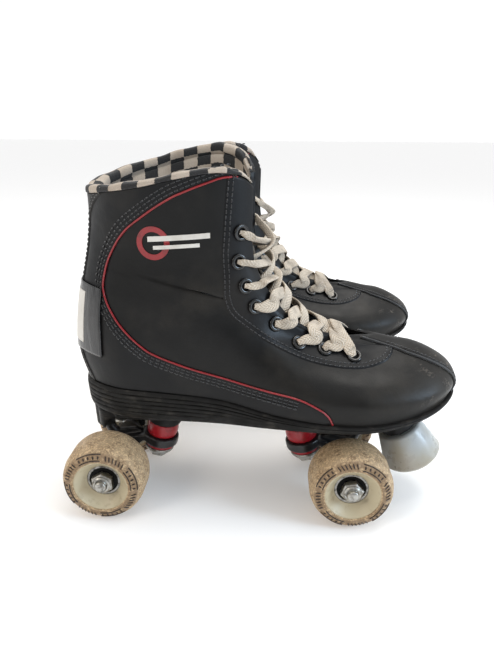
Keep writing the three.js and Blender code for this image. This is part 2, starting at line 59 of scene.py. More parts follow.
WHEEL_RADIUS = 27
WHEEL_HALF_WIDTH = 16
HALF_WHEELBASE = 80.45
HALF_TRACK = 38
AXLE_RADIUS = 3.9
AXLE_HALF_LENGTH = 55.1
BEARING_RADIUS = 11
BEARING_REACH = 8
NUT_FLATS = 13
NUT_THICKNESS = 6
KINGPIN_LEAN = math.radians(12)
RING_X, RING_Z = 51.5, 33.5
RING_RADIUS, RING_HALF = 12.5, 3.25
CUSHION_HEIGHT = 10.3
KINGPIN_TOP = 24                 # above the middle of the hanger's ring
PIVOT_X, PIVOT_Z, PIVOT_BALL = 90, 44, 4.5
STOP_TILT = math.radians(27.5)
STOP_X, STOP_Z, STOP_LENGTH = 130.5, 24, 27

UPPER_THICKNESS = 3
OVERLAY = 0.65                   # how far a sewn-on panel stands above the leather under it
MEDIAL_WIDTH = 0.94              # width of the inner side of the boot against its outer side
MEDIAL_COLLAR_LIFT = 10          # how far the collar rises higher on the inner side
CHECK_SIZE = 9.6                 # side of one square of the lining's check
LACE_WIDTH = 8

# ---------------------------------------------------------------- the camera, where the photograph was taken

CAMERA_PLACE = (0.0047, -0.3946, 0.2387)
CAMERA_YAW = math.radians(-2.726)
CAMERA_DIP = math.radians(20.25)
CAMERA_ROLL = math.radians(0.377)
CAMERA_LENS = 28.607             # for a 36 mm sensor along the picture's long side


def make_camera():
    ahead = Vector((math.sin(CAMERA_YAW) * math.cos(CAMERA_DIP),
                    math.cos(CAMERA_YAW) * math.cos(CAMERA_DIP), -math.sin(CAMERA_DIP)))
    level = Vector((math.cos(CAMERA_YAW), -math.sin(CAMERA_YAW), 0))
    above = level.cross(ahead)
    right = level * math.cos(CAMERA_ROLL) + above * math.sin(CAMERA_ROLL)
    top = above * math.cos(CAMERA_ROLL) - level * math.sin(CAMERA_ROLL)
    data = bpy.data.cameras.new("camera")
    data.lens = CAMERA_LENS
    data.sensor_width = 36
    camera = bpy.data.objects.new("camera", data)
    turn = Matrix((right, top, -ahead)).transposed()
    camera.matrix_world = Matrix.Translation(CAMERA_PLACE) @ turn.to_4x4()
    bpy.context.collection.objects.link(camera)
    bpy.context.scene.camera = camera


make_camera()

# ---------------------------------------------------------------- the boot's shape

# Heights of the seam between upper and sole, and of the sole's underside, along the skate: (x, z).
FEATHERLINE = [(-100, 87), (-45, 85.5), (-5, 82.5), (32, 75.5), (70, 73), (105, 74.5), (135, 79.5),
               (150, 83)]
SOLE_UNDERSIDE = [(-100, 64), (-35, 63.4), (15, 63.8), (60, 66), (90, 67.5), (120, 71.5), (150, 78.5)]

# The boot's outline at that seam, on the outer side, from the heel to the toe: (x, half width).
FOOT_OUTLINE = [(-97, 0), (-90.5, 17), (-70, 29), (-40, 32), (-5, 34), (30, 40), (62, 45), (92, 45),
                (120, 36), (140, 20), (148, 0)]

# Half width of the throat between the two eyelet stays, along the skate: (x, half width).
THROAT = [(0, 21), (16, 21), (30, 17), (60, 13.5), (80, 11), (88, 6)]
THROAT_END = 91
THROAT_ROUNDING = 11             # length over which the throat closes to its round end


def smoothstep(x, low, high):
    t = np.clip((np.asarray(x, float) - low) / (high - low), 0, 1)
    return t * t * (3 - 2 * t)


def lengths_along(points):
    """How far along a line of points each one lies."""
    return np.concatenate([[0], np.cumsum(np.linalg.norm(np.diff(points, axis=0), axis=1))])


def curve_at(points, x):
    """Value at x of a smooth curve through (x, value) points."""
    at, value = np.array(points, float).T
    slope = np.gradient(value, at, edge_order=1)
    slope[1:-1] = (value[2:] - value[:-2]) / (at[2:] - at[:-2])
    x = np.asarray(x, float)
    k = np.clip(np.searchsorted(at, x) - 1, 0, len(at) - 2)
    span = at[k + 1] - at[k]
    t = np.clip((x - at[k]) / span, 0, 1)
    s = 1 - t
    return (value[k] * (1 + 2 * t) * s * s + span * slope[k] * t * s * s
            + value[k + 1] * (1 + 2 * s) * t * t - span * slope[k + 1] * s * t * t)


# The boot's outer side, from the seam with the sole (first row) up to the collar's edge (last row).
# Each row runs from the heel seam to the front centre line, as (x, half width, z).
BOOT_ROWS = [
    [(x, width, float(curve_at(FEATHERLINE, x))) for x, width in FOOT_OUTLINE],
    [(-101, 0, 105), (-95.5, 16, 105), (-73, 31, 104), (-42, 34, 102), (-6, 36, 98), (30, 42, 92),
     (62, 46, 87), (92, 45.5, 86), (121, 36, 87), (142, 20, 88), (149.7, 0, 88)],
    [(-100.3, 0, 122), (-95, 15, 122), (-73, 31, 120), (-42, 35, 117), (-6, 37, 112), (30, 39, 104),
     (60, 40, 97), (90, 38.5, 95), (118, 30.5, 95), (138, 16.5, 96.5), (145, 0, 97)],
    [(-98, 0, 138), (-93, 14, 138), (-73, 29, 136), (-44, 34.5, 133), (-10, 37, 127), (24, 34, 117),
     (54, 30, 106.5), (84, 27.5, 102), (110, 22, 102.5), (129, 12.5, 103.5), (136, 0, 104)],
    [(-95.5, 0, 149), (-91, 13.5, 149), (-72, 28, 147), (-46, 34, 144), (-15, 36.5, 137), (15, 31.5, 129),
     (42, 22, 118), (66, 18, 111), (92, 16, 108.5), (114, 9.5, 109.5), (121.5, 0, 110.7)],
    [(-92.5, 0, 160), (-88.5, 13, 160), (-71, 26.5, 158), (-48, 33, 155), (-20, 36, 149), (8, 31.5, 142),
     (33, 21.5, 129), (56, 15.5, 119), (78, 13, 113.5), (96, 7, 113.3), (103, 0, 114)],
    [(-89, 0, 174), (-85.5, 12.5, 174), (-69, 25.5, 173), (-47, 32.5, 170), (-22, 35, 165), (2, 32, 157),
     (19, 25.5, 146), (34, 18, 135), (45, 11.5, 128.5), (52, 5.5, 126.5), (55, 0, 126.5)],
    [(-87, 0, 187), (-83.5, 12.5, 187), (-68, 26, 186.5), (-47, 33, 184), (-25, 35, 180), (-4, 33, 174),
     (9, 28, 166), (19, 21, 157.5), (26, 13.5, 151.5), (30, 6.5, 149), (31.5, 0, 148.5)],
    [(-86.3, 0, 197), (-82.5, 13, 197), (-67, 27, 197.5), (-47, 34.5, 197), (-26, 36.5, 195),
     (-7, 34.5, 191), (5, 29.5, 186), (13, 22.5, 179), (18, 15, 173), (20.5, 7.5, 170), (21.2, 0, 169)],
    [(-86.3, 0, 206), (-82.5, 13.5, 206.3), (-67, 28.5, 208.7), (-47, 36.5, 212), (-27, 38.5, 216.5),
     (-9, 36.5, 219.5), (3, 32, 219), (11, 25.5, 215.5), (16, 17.5, 209), (18.5, 8.5, 204), (19, 0, 203)],
]
TOP_ROW = len(BOOT_ROWS) - 1
FRONT = len(FOOT_OUTLINE) - 1
GHOSTS = 3                       # control points carried on past each edge of the rows

# Curves on the boot, as (position along the rows, row): position 0 is the heel seam and 10 the front.
EYELETS = [(6.3, 8.1), (5.85, 7.15), (5.65, 6.3), (5.5, 5.45), (5.8, 4.9), (6.05, 3.95), (6.75, 3.95),
           (7.35, 3.75)]
PIPING = [(6.0, 8.97), (5.42, 8.92), (4.96, 8.85), (4.55, 8.78), (4.18, 8.69), (3.81, 8.57), (3.4, 8.33),
          (3.0, 7.95), (2.6, 7.4), (2.3, 6.8), (2.04, 6.15), (1.88, 5.6), (1.81, 5.0), (1.81, 4.4),
          (1.92, 3.74), (2.1, 3.1), (2.25, 2.7), (2.44, 2.33), (2.66, 1.96), (2.85, 1.7), (3.2, 1.45),
          (3.71, 1.18), (4.39, 1.03), (4.91, 0.99), (5.46, 0.96), (5.85, 0.68), (6.03, 0.38), (6.12, 0)]
STAY_EDGE = [(5.74, 9), (5.52, 8.49), (5.29, 7.84), (4.99, 6.79), (4.73, 5.7), (4.66, 4.9), (4.7, 4.4),
             (4.87, 3.95), (5.12, 3.42), (5.6, 3.12), (6.2, 3), (6.79, 3.02), (7.34, 3.16), (8, 3.5),
             (8.6, 4.05), (9.05, 4.7)]
BACK_STRAP = [(1.85, 9), (1.5, 8.7), (1.2, 8.2), (0.95, 7.6), (0.88, 6.5), (0.86, 5.6), (0.84, 4.6),
              (0.86, 3.4), (0.95, 2.2), (1.03, 1.2), (1.15, 0.3), (1.2, 0)]
TOE_STRIP = [(9.0, 5.28), (8.92, 4.76), (8.85, 4.2), (8.83, 3.66), (8.98, 2.93), (9.2, 2.2), (9.42, 1.5),
             (9.5, 0.8), (9.45, 0)]


def with_ghosts(rows):
    """The control grid with mirrored stations past the heel and the front, and rows carried on straight."""
    grid = np.array(rows, float)
    mirror = np.array([1, -1, 1])
    before = grid[:, GHOSTS:0:-1] * mirror
    after = grid[:, -2:-2 - GHOSTS:-1] * mirror
    grid = np.concatenate([before, grid, after], axis=1)
    steps = np.arange(1, GHOSTS + 1)[:, None, None]
    below = (grid[0] + (grid[0] - grid[1]) * steps)[::-1]
    above = grid[-1] + (grid[-1] - grid[-2]) * steps
    return np.concatenate([below, grid, above], axis=0)


CONTROL_GRID = with_ghosts(BOOT_ROWS)


def spline_weights(t):
    return [(-t ** 3 + 2 * t ** 2 - t) / 2, (3 * t ** 3 - 5 * t ** 2 + 2) / 2,
            (-3 * t ** 3 + 4 * t ** 2 + t) / 2, (t ** 3 - t ** 2) / 2]


def skin(side, u, v):
    """Points on the boot: side is -1 outside and 1 inside, u runs from heel seam to front, v up the rows."""
    u, v = np.broadcast_arrays(np.asarray(u, float), np.asarray(v, float))
    station = np.clip(np.floor(u), -1, FRONT).astype(int)
    row = np.clip(np.floor(v), -1, TOP_ROW).astype(int)
    along = spline_weights(u - station)
    across = spline_weights(v - row)
    point = np.zeros(u.shape + (3,))
    for i in range(4):
        for j in range(4):
            weight = (across[i] * along[j])[..., None]
            point = point + weight * CONTROL_GRID[row + i - 1 + GHOSTS, station + j - 1 + GHOSTS]
    if side < 0:
        return point * np.array([1, -1, 1])
    rise = MEDIAL_COLLAR_LIFT * smoothstep(v, TOP_ROW - 3, TOP_ROW)
    point = point * np.array([1, MEDIAL_WIDTH, 1])
    share = np.clip(u / FRONT, 0, 1)
    point[..., 2] += rise * np.sin(np.pi * share) * (1.45 - 0.9 * share)
    return point


def skin_normal(side, u, v):
    step = 0.05
    along = skin(side, u + step, v) - skin(side, u - step, v)
    up = skin(side, u, v + step) - skin(side, u, v - step)
    normal = np.cross(along, up) * -side
    return normal / np.linalg.norm(normal, axis=-1, keepdims=True)


def boot_point(side, u, v, depth):
    """Points at a depth below the boot's skin; a negative depth stands proud of it."""
    u, v = np.broadcast_arrays(np.asarray(u, float), np.asarray(v, float))
    return skin(side, u, v) - skin_normal(side, u, v) * np.asarray(depth, float)[..., None]


def along_skin(side, route, spacing, depth):
    """Even steps along a smooth route over the skin: the points and the outward normals."""
    fine = smooth_line(route, 24)
    points = skin(side, fine[:, 0], fine[:, 1])
    length = lengths_along(points)
    count = max(int(round(length[-1] / spacing)), 2)
    stops = np.linspace(0, length[-1], count + 1)
    u = np.interp(stops, length, fine[:, 0])
    v = np.interp(stops, length, fine[:, 1])
    return boot_point(side, u, v, depth), skin_normal(side, u, v)


def throat_half_width(x):
    closing = np.clip((np.asarray(x, float) - (THROAT_END - THROAT_ROUNDING)) / THROAT_ROUNDING, 0, 1)
    return np.where(x > 88, 6.0, curve_at(THROAT, x)) * np.sqrt(1 - closing ** 4)


def throat_edge(v):
    """Position along row v where the leather ends at the throat, or the front centre line below it."""
    u = np.linspace(4, FRONT, 1200)
    edge = []
    for row in np.atleast_1d(v):
        point = skin(-1, u, row)
        beyond = np.abs(point[:, 1]) < throat_half_width(point[:, 0])
        is_open = point[-1, 0] < THROAT_END and beyond.any()
        edge.append(u[np.argmax(beyond)] if is_open else FRONT)
    return np.array(edge)


def lowest_throat_row():
    rows = np.linspace(5, 6, 400)
    ridge = skin(-1, FRONT, rows)[:, 0]
    return rows[np.argmax(ridge < THROAT_END)]


# ---------------------------------------------------------------- general geometry

WELD_DISTANCE = 1e-4


class Shape:
    """Points in a skate's own frame, faces, and a place in the material's pattern for each point, in mm."""

    def __init__(self, points, faces, pattern=None):
        self.points = np.asarray(points, float).reshape(-1, 3)
        self.faces = [tuple(int(i) for i in face) for face in faces]
        blank = np.zeros((len(self.points), 2))
        self.pattern = blank if pattern is None else np.asarray(pattern, float).reshape(-1, 2)

    def moved(self, x=0, y=0, z=0):
        return Shape(self.points + np.array([x, y, z]), self.faces, self.pattern)

    def turned(self, axis, angle):
        turn = np.array(Matrix.Rotation(angle, 3, axis))
        return Shape(self.points @ turn.T, self.faces, self.pattern)

    def facing(self, origin, along, upward):
        """Carries the shape's +Y onto upward and its +X onto along, and its origin to origin."""
        upward = unit(upward)
        along = unit(along - upward * np.dot(along, upward))
        turn = np.stack([along, upward, np.cross(along, upward)])
        return Shape(self.points @ turn + origin, self.faces, self.pattern)

    def flipped(self):
        return Shape(self.points, [face[::-1] for face in self.faces], self.pattern)


def joined(shapes):
    points, faces, pattern = [], [], []
    count = 0
    for shape in shapes:
        points.append(shape.points)
        pattern.append(shape.pattern)
        faces += [tuple(i + count for i in face) for face in shape.faces]
        count += len(shape.points)
    return Shape(np.concatenate(points), faces, np.concatenate(pattern))


def unit(vector):
    vector = np.asarray(vector, float)
    return vector / np.maximum(np.linalg.norm(vector, axis=-1, keepdims=True), 1e-12)


def smooth_line(route, per_span=10):
    """A Catmull-Rom line through the route's points, per_span steps between each two of them."""
    route = np.asarray(route, float)
    padded = np.concatenate([[2 * route[0] - route[1]], route, [2 * route[-1] - route[-2]]])
    steps = []
    for k in range(len(route) - 1):
        t = np.arange(per_span)[:, None] / per_span
        weights = spline_weights(t)
        steps.append(sum(weights[i] * padded[k + i] for i in range(4)))
    return np.concatenate([*steps, route[-1:]])


def grid_faces(rows, columns, close_columns=False, close_rows=False):
    faces = []
    for i in range(rows if close_rows else rows - 1):
        for j in range(columns if close_columns else columns - 1):
            a = i * columns + j
            b = i * columns + (j + 1) % columns
            step = columns if i < rows - 1 else -columns * (rows - 1)
            faces.append((a, b, b + step, a + step))
    return faces


def outward(shape):
    """The same closed shape with its faces turned outward."""
    volume = 0
    for face in shape.faces:
        corner = shape.points[list(face)]
        for k in range(1, len(face) - 1):
            volume += np.dot(corner[0], np.cross(corner[k], corner[k + 1]))
    return shape.flipped() if volume < 0 else shape


def lathe(profile, sides=48):
    """A solid turned about Y from (radius, y) points, from axis to axis or closed on themselves."""
    profile = np.array(profile, float)
    closed = profile[0][0] > 1e-9
    angle = np.arange(sides) * 2 * math.pi / sides
    run = lengths_along(profile)
    points, pattern, faces = [], [], []
    for (radius, y), length in zip(profile, run):
        ring = np.stack([radius * np.cos(angle), np.full(sides, y), radius * np.sin(angle)], axis=1)
        points.append(ring)
        pattern.append(np.stack([angle * max(profile[:, 0]), np.full(sides, length)], axis=1))
    faces = grid_faces(len(profile), sides, close_columns=True, close_rows=closed)
    shape = Shape(np.concatenate(points), faces, np.concatenate(pattern))
    return outward(welded(shape))


def welded(shape):
    """Merges points that share a place and drops the faces that this leaves with fewer than three corners."""
    keys = np.round(shape.points / WELD_DISTANCE).astype(np.int64)
    _, first, inverse = np.unique(keys, axis=0, return_index=True, return_inverse=True)
    inverse = inverse.reshape(-1)
    faces = []
    for face in shape.faces:
        corners = list(dict.fromkeys(int(inverse[i]) for i in face))
        if len(corners) > 2:
            faces.append(corners)
    return Shape(shape.points[first], faces, shape.pattern[first])


def rounded(outline, radius, steps=4, closed=False):
    """The same outline with its corners rounded; the ends of an open outline stay as they are."""
    outline = [np.array(point, float) for point in outline]
    count = len(outline)
    result = []
    for i, corner in enumerate(outline):
        if not closed and i in (0, count - 1):
            result.append(corner)
            continue
        before = outline[i - 1] - corner
        after = outline[(i + 1) % count] - corner
        reach_before = min(radius, 0.45 * np.linalg.norm(before))
        reach_after = min(radius, 0.45 * np.linalg.norm(after))
        start = corner + unit(before) * reach_before
        end = corner + unit(after) * reach_after
        for k in range(steps + 1):
            t = k / steps
            result.append(start * (1 - t) ** 2 + corner * 2 * t * (1 - t) + end * t ** 2)
    return [tuple(point) for point in result]


def slab(outline, half_width):
    """A side-view outline of (x, z) points, carried evenly to both sides of the centre line."""
    count = len(outline)
    points = [(x, y, z) for y in (-half_width, half_width) for x, z in outline]
    faces = [(i, (i + 1) % count, count + (i + 1) % count, count + i) for i in range(count)]
    faces.append(tuple(range(count))[::-1])
    faces.append(tuple(range(count, 2 * count)))
    return outward(Shape(points, faces))


def band(points, normals, half_width, half_thickness, sides=10, squareness=0.6):
    """A strap or cord along a line of points, lying flat across the normals, with closed ends."""
    points = np.asarray(points, float)
    tangent = unit(np.gradient(points, axis=0))
    across = unit(np.cross(tangent, normals))
    upward = np.cross(across, tangent)
    half_width = np.broadcast_to(half_width, len(points))[:, None]
    half_thickness = np.broadcast_to(half_thickness, len(points))[:, None]
    angle = np.arange(sides) * 2 * math.pi / sides
    side = np.sign(np.cos(angle)) * np.abs(np.cos(angle)) ** squareness * half_width
    rise = np.sign(np.sin(angle)) * np.abs(np.sin(angle)) ** squareness * half_thickness
    rings = points[:, None] + across[:, None] * side[..., None] + upward[:, None] * rise[..., None]
    length = lengths_along(points)
    pattern = np.stack([side, np.broadcast_to(length[:, None], side.shape)], axis=-1)
    faces = grid_faces(len(points), sides, close_columns=True)
    last = (len(points) - 1) * sides
    faces.append(tuple(range(sides))[::-1])
    faces.append(tuple(range(last, last + sides)))
    return outward(Shape(rings, faces, pattern))


def bead(half_length, half_width, half_height):
    """A small ellipsoid, long in X and with its height in Y: one stitch."""
    around, along = 6, 4
    points = [(-half_length, 0, 0)]
    for i in range(1, along):
        lean = math.pi * i / along
        for j in range(around):
            turn = 2 * math.pi * j / around
            points.append((-half_length * math.cos(lean), half_height * math.sin(lean) * math.cos(turn),
                           half_width * math.sin(lean) * math.sin(turn)))
    points.append((half_length, 0, 0))
    last = len(points) - 1
    faces = [(0, 1 + j, 1 + (j + 1) % around) for j in range(around)]
    faces += [tuple(1 + i for i in face) for face in grid_faces(along - 1, around, close_columns=True)]
    first = last - around
    faces += [(last, first + (j + 1) % around, first + j) for j in range(around)]
    return outward(Shape(points, faces))


# ---------------------------------------------------------------- putting pieces into the scene


def place(points, hand):
    """Skate points in mm to the frame's metres; hand is -1 for the right skate and 1 for the left one."""
    points = np.array(points, float)
    points[..., 0] -= MIDDLE_X
    points[..., 1] = hand * (SKATE_SPACING / 2 - points[..., 1])
    return points * MM


def mesh_object(name, shape, material, hand, sharp_angle=None):
    mesh = bpy.data.meshes.new(name)
    faces = shape.faces if hand < 0 else [face[::-1] for face in shape.faces]
    mesh.from_pydata(place(shape.points, hand).tolist(), [], faces)
    mesh.shade_smooth()
    if sharp_angle is not None:
        mesh.set_sharp_from_angle(angle=math.radians(sharp_angle))
    corners = np.zeros(len(mesh.loops), int)
    mesh.loops.foreach_get("vertex_index", corners)
    layer = mesh.uv_layers.new(name="pattern")
    layer.data.foreach_set("uv", (shape.pattern[corners] * MM).astype(np.float32).ravel())
    mesh.materials.append(material)
    piece = bpy.data.objects.new(name, mesh)
    bpy.context.collection.objects.link(piece)
    return piece


def with_modifiers(piece, modifiers):
    """Adds modifiers, each given as (type, settings), and applies them all to the mesh."""
    for kind, settings in modifiers:
        modifier = piece.modifiers.new(kind.lower(), kind)
        for key, value in settings.items():
            setattr(modifier, key, value)
    bpy.context.view_layer.update()
    evaluated = piece.evaluated_get(bpy.context.evaluated_depsgraph_get())
    mesh = bpy.data.meshes.new_from_object(evaluated)
    piece.modifiers.clear()
    old = piece.data
    piece.data = mesh
    bpy.data.meshes.remove(old)
    return piece


def add_piece(name, shape, material, hand, body, replaces=(), slot=None, modifiers=(), sharp_angle=None):
    piece = mesh_object(name, shape, material, hand, sharp_angle)
    if modifiers:
        with_modifiers(piece, modifiers)
        piece.data.shade_smooth()
        if sharp_angle is not None:
            piece.data.set_sharp_from_angle(angle=math.radians(sharp_angle))
    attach(piece, body)
    if replaces:
        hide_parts(*replaces)
    return piece


# ---------------------------------------------------------------- materials


class Look:
    """A principled material, with short calls for the nodes that feed it. Sizes of patterns are in mm."""

    def __init__(self, name, roughness, metallic=0.0, **more):
        self.material = bpy.data.materials.new(name)
        self.material.use_nodes = True
        self.tree = self.material.node_tree
        self.shader = self.tree.nodes["Principled BSDF"]
        self.shader.inputs["Roughness"].default_value = roughness
        self.shader.inputs["Metallic"].default_value = metallic
        for socket, value in more.items():
            self.shader.inputs[socket.replace("_", " ")].default_value = value
        self.place = self.made("ShaderNodeTexCoord", "Object", {})
        self.normal = None

    def feed(self, node, socket, value):
        if isinstance(value, bpy.types.NodeSocket):
            self.tree.links.new(value, node.inputs[socket])
        else:
            node.inputs[socket].default_value = value

    def made(self, kind, output, inputs, **settings):
        """An output of a new node, with its inputs given as {socket: a link or a value}."""
        node = self.tree.nodes.new(kind)
        for key, value in settings.items():
            setattr(node, key, value)
        for socket, value in inputs.items():
            self.feed(node, socket, value)
        return node.outputs[output]

    def uv(self):
        return self.made("ShaderNodeUVMap", "UV", {}, uv_map="pattern")

    def stretched(self, place, x, y, z):
        return self.made("ShaderNodeMapping", "Vector", {"Vector": place, "Scale": (x, y, z)})

    def noise(self, size, detail=4, roughness=0.55, place=None, distortion=0.0):
        """Values round 0.5, in blotches about as large as size."""
        return self.made("ShaderNodeTexNoise", "Fac", {
            "Vector": place or self.place, "Scale": 1000 / size, "Detail": detail,
            "Roughness": roughness, "Distortion": distortion})

    def cells(self, size):
        return self.made("ShaderNodeTexVoronoi", "Distance", {"Vector": self.place, "Scale": 1000 / size})

    def waves(self, size, place=None, direction="X"):
        scale = 1000 / size * math.pi / 10
        inputs = {"Vector": place or self.place, "Scale": scale}
        return self.made("ShaderNodeTexWave", "Fac", inputs, bands_direction=direction)

    def between(self, value, low, high, start=0.0, end=1.0):
        """A smooth change from start to end as value goes from low to high."""
        inputs = {"Value": value, "From Min": low, "From Max": high, "To Min": start, "To Max": end}
        return self.made("ShaderNodeMapRange", "Result", inputs, interpolation_type="SMOOTHSTEP")

    def calc(self, operation, a, b):
        return self.made("ShaderNodeMath", 0, {0: a, 1: b}, operation=operation)

    def times(self, a, b):
        return self.calc("MULTIPLY", a, b)

    def vector(self, operation, inputs):
        return self.made("ShaderNodeVectorMath", 0, inputs, operation=operation)

    def mix(self, factor, a, b):
        inputs = {"Factor": factor}
        for index, value in ((6, a), (7, b)):
            inputs[index] = (*value, 1) if isinstance(value, tuple) else value
        return self.made("ShaderNodeMix", 2, inputs, data_type="RGBA")

    def axis(self, name, place=None):
        return self.made("ShaderNodeSeparateXYZ", name, {"Vector": place or self.place})

    def worn_edge(self):
        """How sharply the surface turns outward, from 0 on the flat to 1 on an edge."""
        pointiness = self.made("ShaderNodeNewGeometry", "Pointiness", {})
        return self.between(pointiness, 0.524, 0.62)

    def bump(self, height, distance, strength):
        """Adds relief: height runs from 0 to 1, and distance is the depth in mm."""
        inputs = {"Height": height, "Distance": distance * MM, "Strength": strength}
        if self.normal is not None:
            inputs["Normal"] = self.normal
        self.normal = self.made("ShaderNodeBump", "Normal", inputs)

    def done(self, color, roughness=None):
        self.feed(self.shader, "Base Color", (*color, 1) if isinstance(color, tuple) else color)
        if roughness is not None:
            self.feed(self.shader, "Roughness", roughness)
        if self.normal is not None:
            self.tree.links.new(self.normal, self.shader.inputs["Normal"])
        return self.material


def vinyl_look(name, dark, dusty, grain=1.0):
    """Coated vinyl: fine grain, faint creases, dust in patches and toward the sole, and a scuffed toe."""
    look = Look(name, 0.45, Specular_IOR_Level=0.19)
    blotches = look.noise(38, detail=5)
    low_down = look.between(look.axis("Z"), 0.06, 0.13, 1, 0)
    dust = look.calc("ADD", look.between(blotches, 0.45, 0.75, 0, 0.5), look.times(low_down, 0.25))
    scratches = look.noise(3, detail=6, place=look.stretched(look.place, 1, 1, 3), distortion=1.5)
    at_toe = look.between(look.axis("X"), 0.088, 0.122)
    above_sole = look.between(look.axis("Z"), 0.072, 0.086)
    torn = look.between(look.noise(9, detail=7, roughness=0.65), 0.56, 0.64)
    rubbed = look.between(scratches, 0.5, 0.62)
    scuff = look.times(look.times(at_toe, above_sole), look.times(torn, rubbed))
    color = look.mix(dust, dark, dusty)
    color = look.mix(look.times(at_toe, 0.35), color, dusty)
    color = look.mix(look.times(scuff, 0.8), color, (0.17, 0.145, 0.12))
    roughness = look.between(look.noise(14, detail=5), 0.3, 0.7, 0.34, 0.48)
    roughness = look.calc("ADD", roughness, look.times(scuff, 0.35))
    look.bump(look.cells(0.9), 0.05 * grain, 0.5)
    look.bump(look.noise(2.2, detail=3), 0.08 * grain, 0.6)
    look.bump(look.noise(26, detail=3, distortion=0.6), 1.2, 0.35)
    look.bump(scuff, -0.4, 0.6)
    return look.done(color, roughness)


def piping_look():
    look = Look("red_piping", 0.35, Coat_Weight=0.2)
    dirt = look.between(look.noise(7, detail=5), 0.5, 0.72)
    look.bump(look.noise(1.4), 0.05, 0.5)
    return look.done(look.mix(look.times(dirt, 0.5), (0.24, 0.006, 0.010), (0.07, 0.008, 0.008)))


def thread_look():
    look = Look("black_thread", 0.62, Sheen_Weight=0.3)
    color = (0.006, 0.006, 0.007)
    twist = look.waves(0.35, direction="DIAGONAL")
    look.bump(twist, 0.06, 0.7)
    lint = look.between(look.noise(5, detail=5), 0.55, 0.75, 0, 0.5)
    linty = tuple(0.6 * part + 0.05 for part in color)
    return look.done(look.mix(lint, color, linty))


def check_look():
    """Brushed fabric printed in cream and charcoal squares with slightly furry borders."""
    look = Look("check_lining", 0.95, Sheen_Weight=0.12, Sheen_Roughness=0.5)
    place = look.uv()
    fuzz = look.noise(1.5, detail=3, place=place)
    across = look.calc("SUBTRACT", fuzz, 0.5)
    along = look.calc("SUBTRACT", look.noise(1.9, detail=3, place=place), 0.5)
    lean = look.made("ShaderNodeCombineXYZ", 0, {"X": across, "Y": along})
    shift = look.vector("SCALE", {0: lean, "Scale": 1.6 * MM})
    moved = look.vector("ADD", {0: place, 1: shift})
    squares = look.made("ShaderNodeTexChecker", "Fac", {"Vector": moved, "Scale": 1000 / CHECK_SIZE})
    soiled = look.between(look.noise(17, detail=5), 0.45, 0.75, 0, 0.6)
    cream = look.mix(soiled, (0.46, 0.39, 0.32), (0.28, 0.22, 0.165))
    fibres = look.noise(0.7, detail=4, place=look.stretched(place, 1, 2.2, 1))
    cream = look.mix(look.between(fibres, 0.35, 0.65), look.mix(0.3, cream, (0.12, 0.1, 0.08)), cream)
    charcoal = look.mix(look.between(fibres, 0.5, 0.7), (0.010, 0.010, 0.011), (0.045, 0.042, 0.04))
    look.bump(fibres, 0.35, 0.8)
    look.bump(look.noise(5, detail=2), 0.6, 0.4)
    return look.done(look.mix(squares, charcoal, cream))


def insole_look():
    """Plain woven cloth: crossed threads, soiled in patches."""
    look = Look("insole_fabric", 0.9, Sheen_Weight=0.25)
    place = look.uv()
    weave = look.calc("MAXIMUM", look.waves(0.8, place, "X"), look.waves(0.8, place, "Y"))
    soiled = look.between(look.noise(12, detail=5), 0.4, 0.7)
    look.bump(weave, 0.25, 0.8)
    look.bump(look.noise(1.2, detail=3), 0.15, 0.5)
    return look.done(look.mix(look.times(soiled, 0.7), (0.25, 0.21, 0.16), (0.1, 0.08, 0.06)))


def lace_look():
    """A flat braid: two sets of slanting threads, greyed where it has rubbed."""
    look = Look("lace_cotton", 0.9, Sheen_Weight=0.15, Sheen_Roughness=0.4)
    place = look.uv()
    folded = look.vector("ABSOLUTE", {0: look.stretched(place, 1, 0.8, 1)})
    braid = look.waves(0.9, folded, "DIAGONAL")
    ribs = look.waves(1.1, place, "X")
    look.bump(look.calc("MAXIMUM", braid, look.times(ribs, 0.7)), 0.4, 1.0)
    look.bump(look.noise(0.8, detail=3), 0.15, 0.6)
    grime = look.between(look.noise(10, detail=6, roughness=0.6), 0.42, 0.72)
    light = look.mix(braid, (0.46, 0.39, 0.30), (0.58, 0.50, 0.41))
    return look.done(look.mix(look.times(grime, 0.7), light, (0.22, 0.18, 0.14)))


def rubber_look(name, color, dusty, roughness=0.6):
    look = Look(name, roughness, Specular_IOR_Level=0.2)
    rub = look.between(look.noise(11, detail=6, roughness=0.62), 0.48, 0.7)
    streaks = look.noise(2.5, detail=5, place=look.stretched(look.place, 0.25, 0.25, 1.5))
    dust = look.times(rub, look.between(streaks, 0.35, 0.65))
    look.bump(look.noise(0.9, detail=4), 0.09, 0.6)
    look.bump(streaks, 0.25, 0.35)
    rough = look.between(look.noise(8), 0.3, 0.7, roughness - 0.1, roughness + 0.15)
    return look.done(look.mix(look.times(dust, 0.75), color, dusty), rough)


def stop_look():
    """Pale grey stopper rubber, scraped and speckled toward its foot."""
    look = Look("stop_rubber", 0.36, Coat_Weight=0.1, Subsurface_Weight=0.1)
    look.shader.inputs["Subsurface Radius"].default_value = (0.004, 0.004, 0.004)
    low_down = look.between(look.axis("Z"), 0.022, 0.04, 1, 0)
    chips = look.between(look.noise(2.4, detail=5), 0.64, 0.7)
    yellowed = look.between(look.noise(20), 0.4, 0.7)
    low_half = look.between(look.axis("Z"), 0.028, 0.046, 1, 0)
    color = look.mix(yellowed, (0.42, 0.44, 0.44), (0.37, 0.36, 0.31))
    color = look.mix(look.times(low_half, 0.7), color, (0.34, 0.30, 0.23))
    color = look.mix(look.times(chips, low_down), color, (0.13, 0.12, 0.1))
    look.bump(look.noise(1.8, detail=5), 0.12, 0.5)
    return look.done(color, look.between(look.noise(9, detail=5), 0.35, 0.65, 0.25, 0.5))


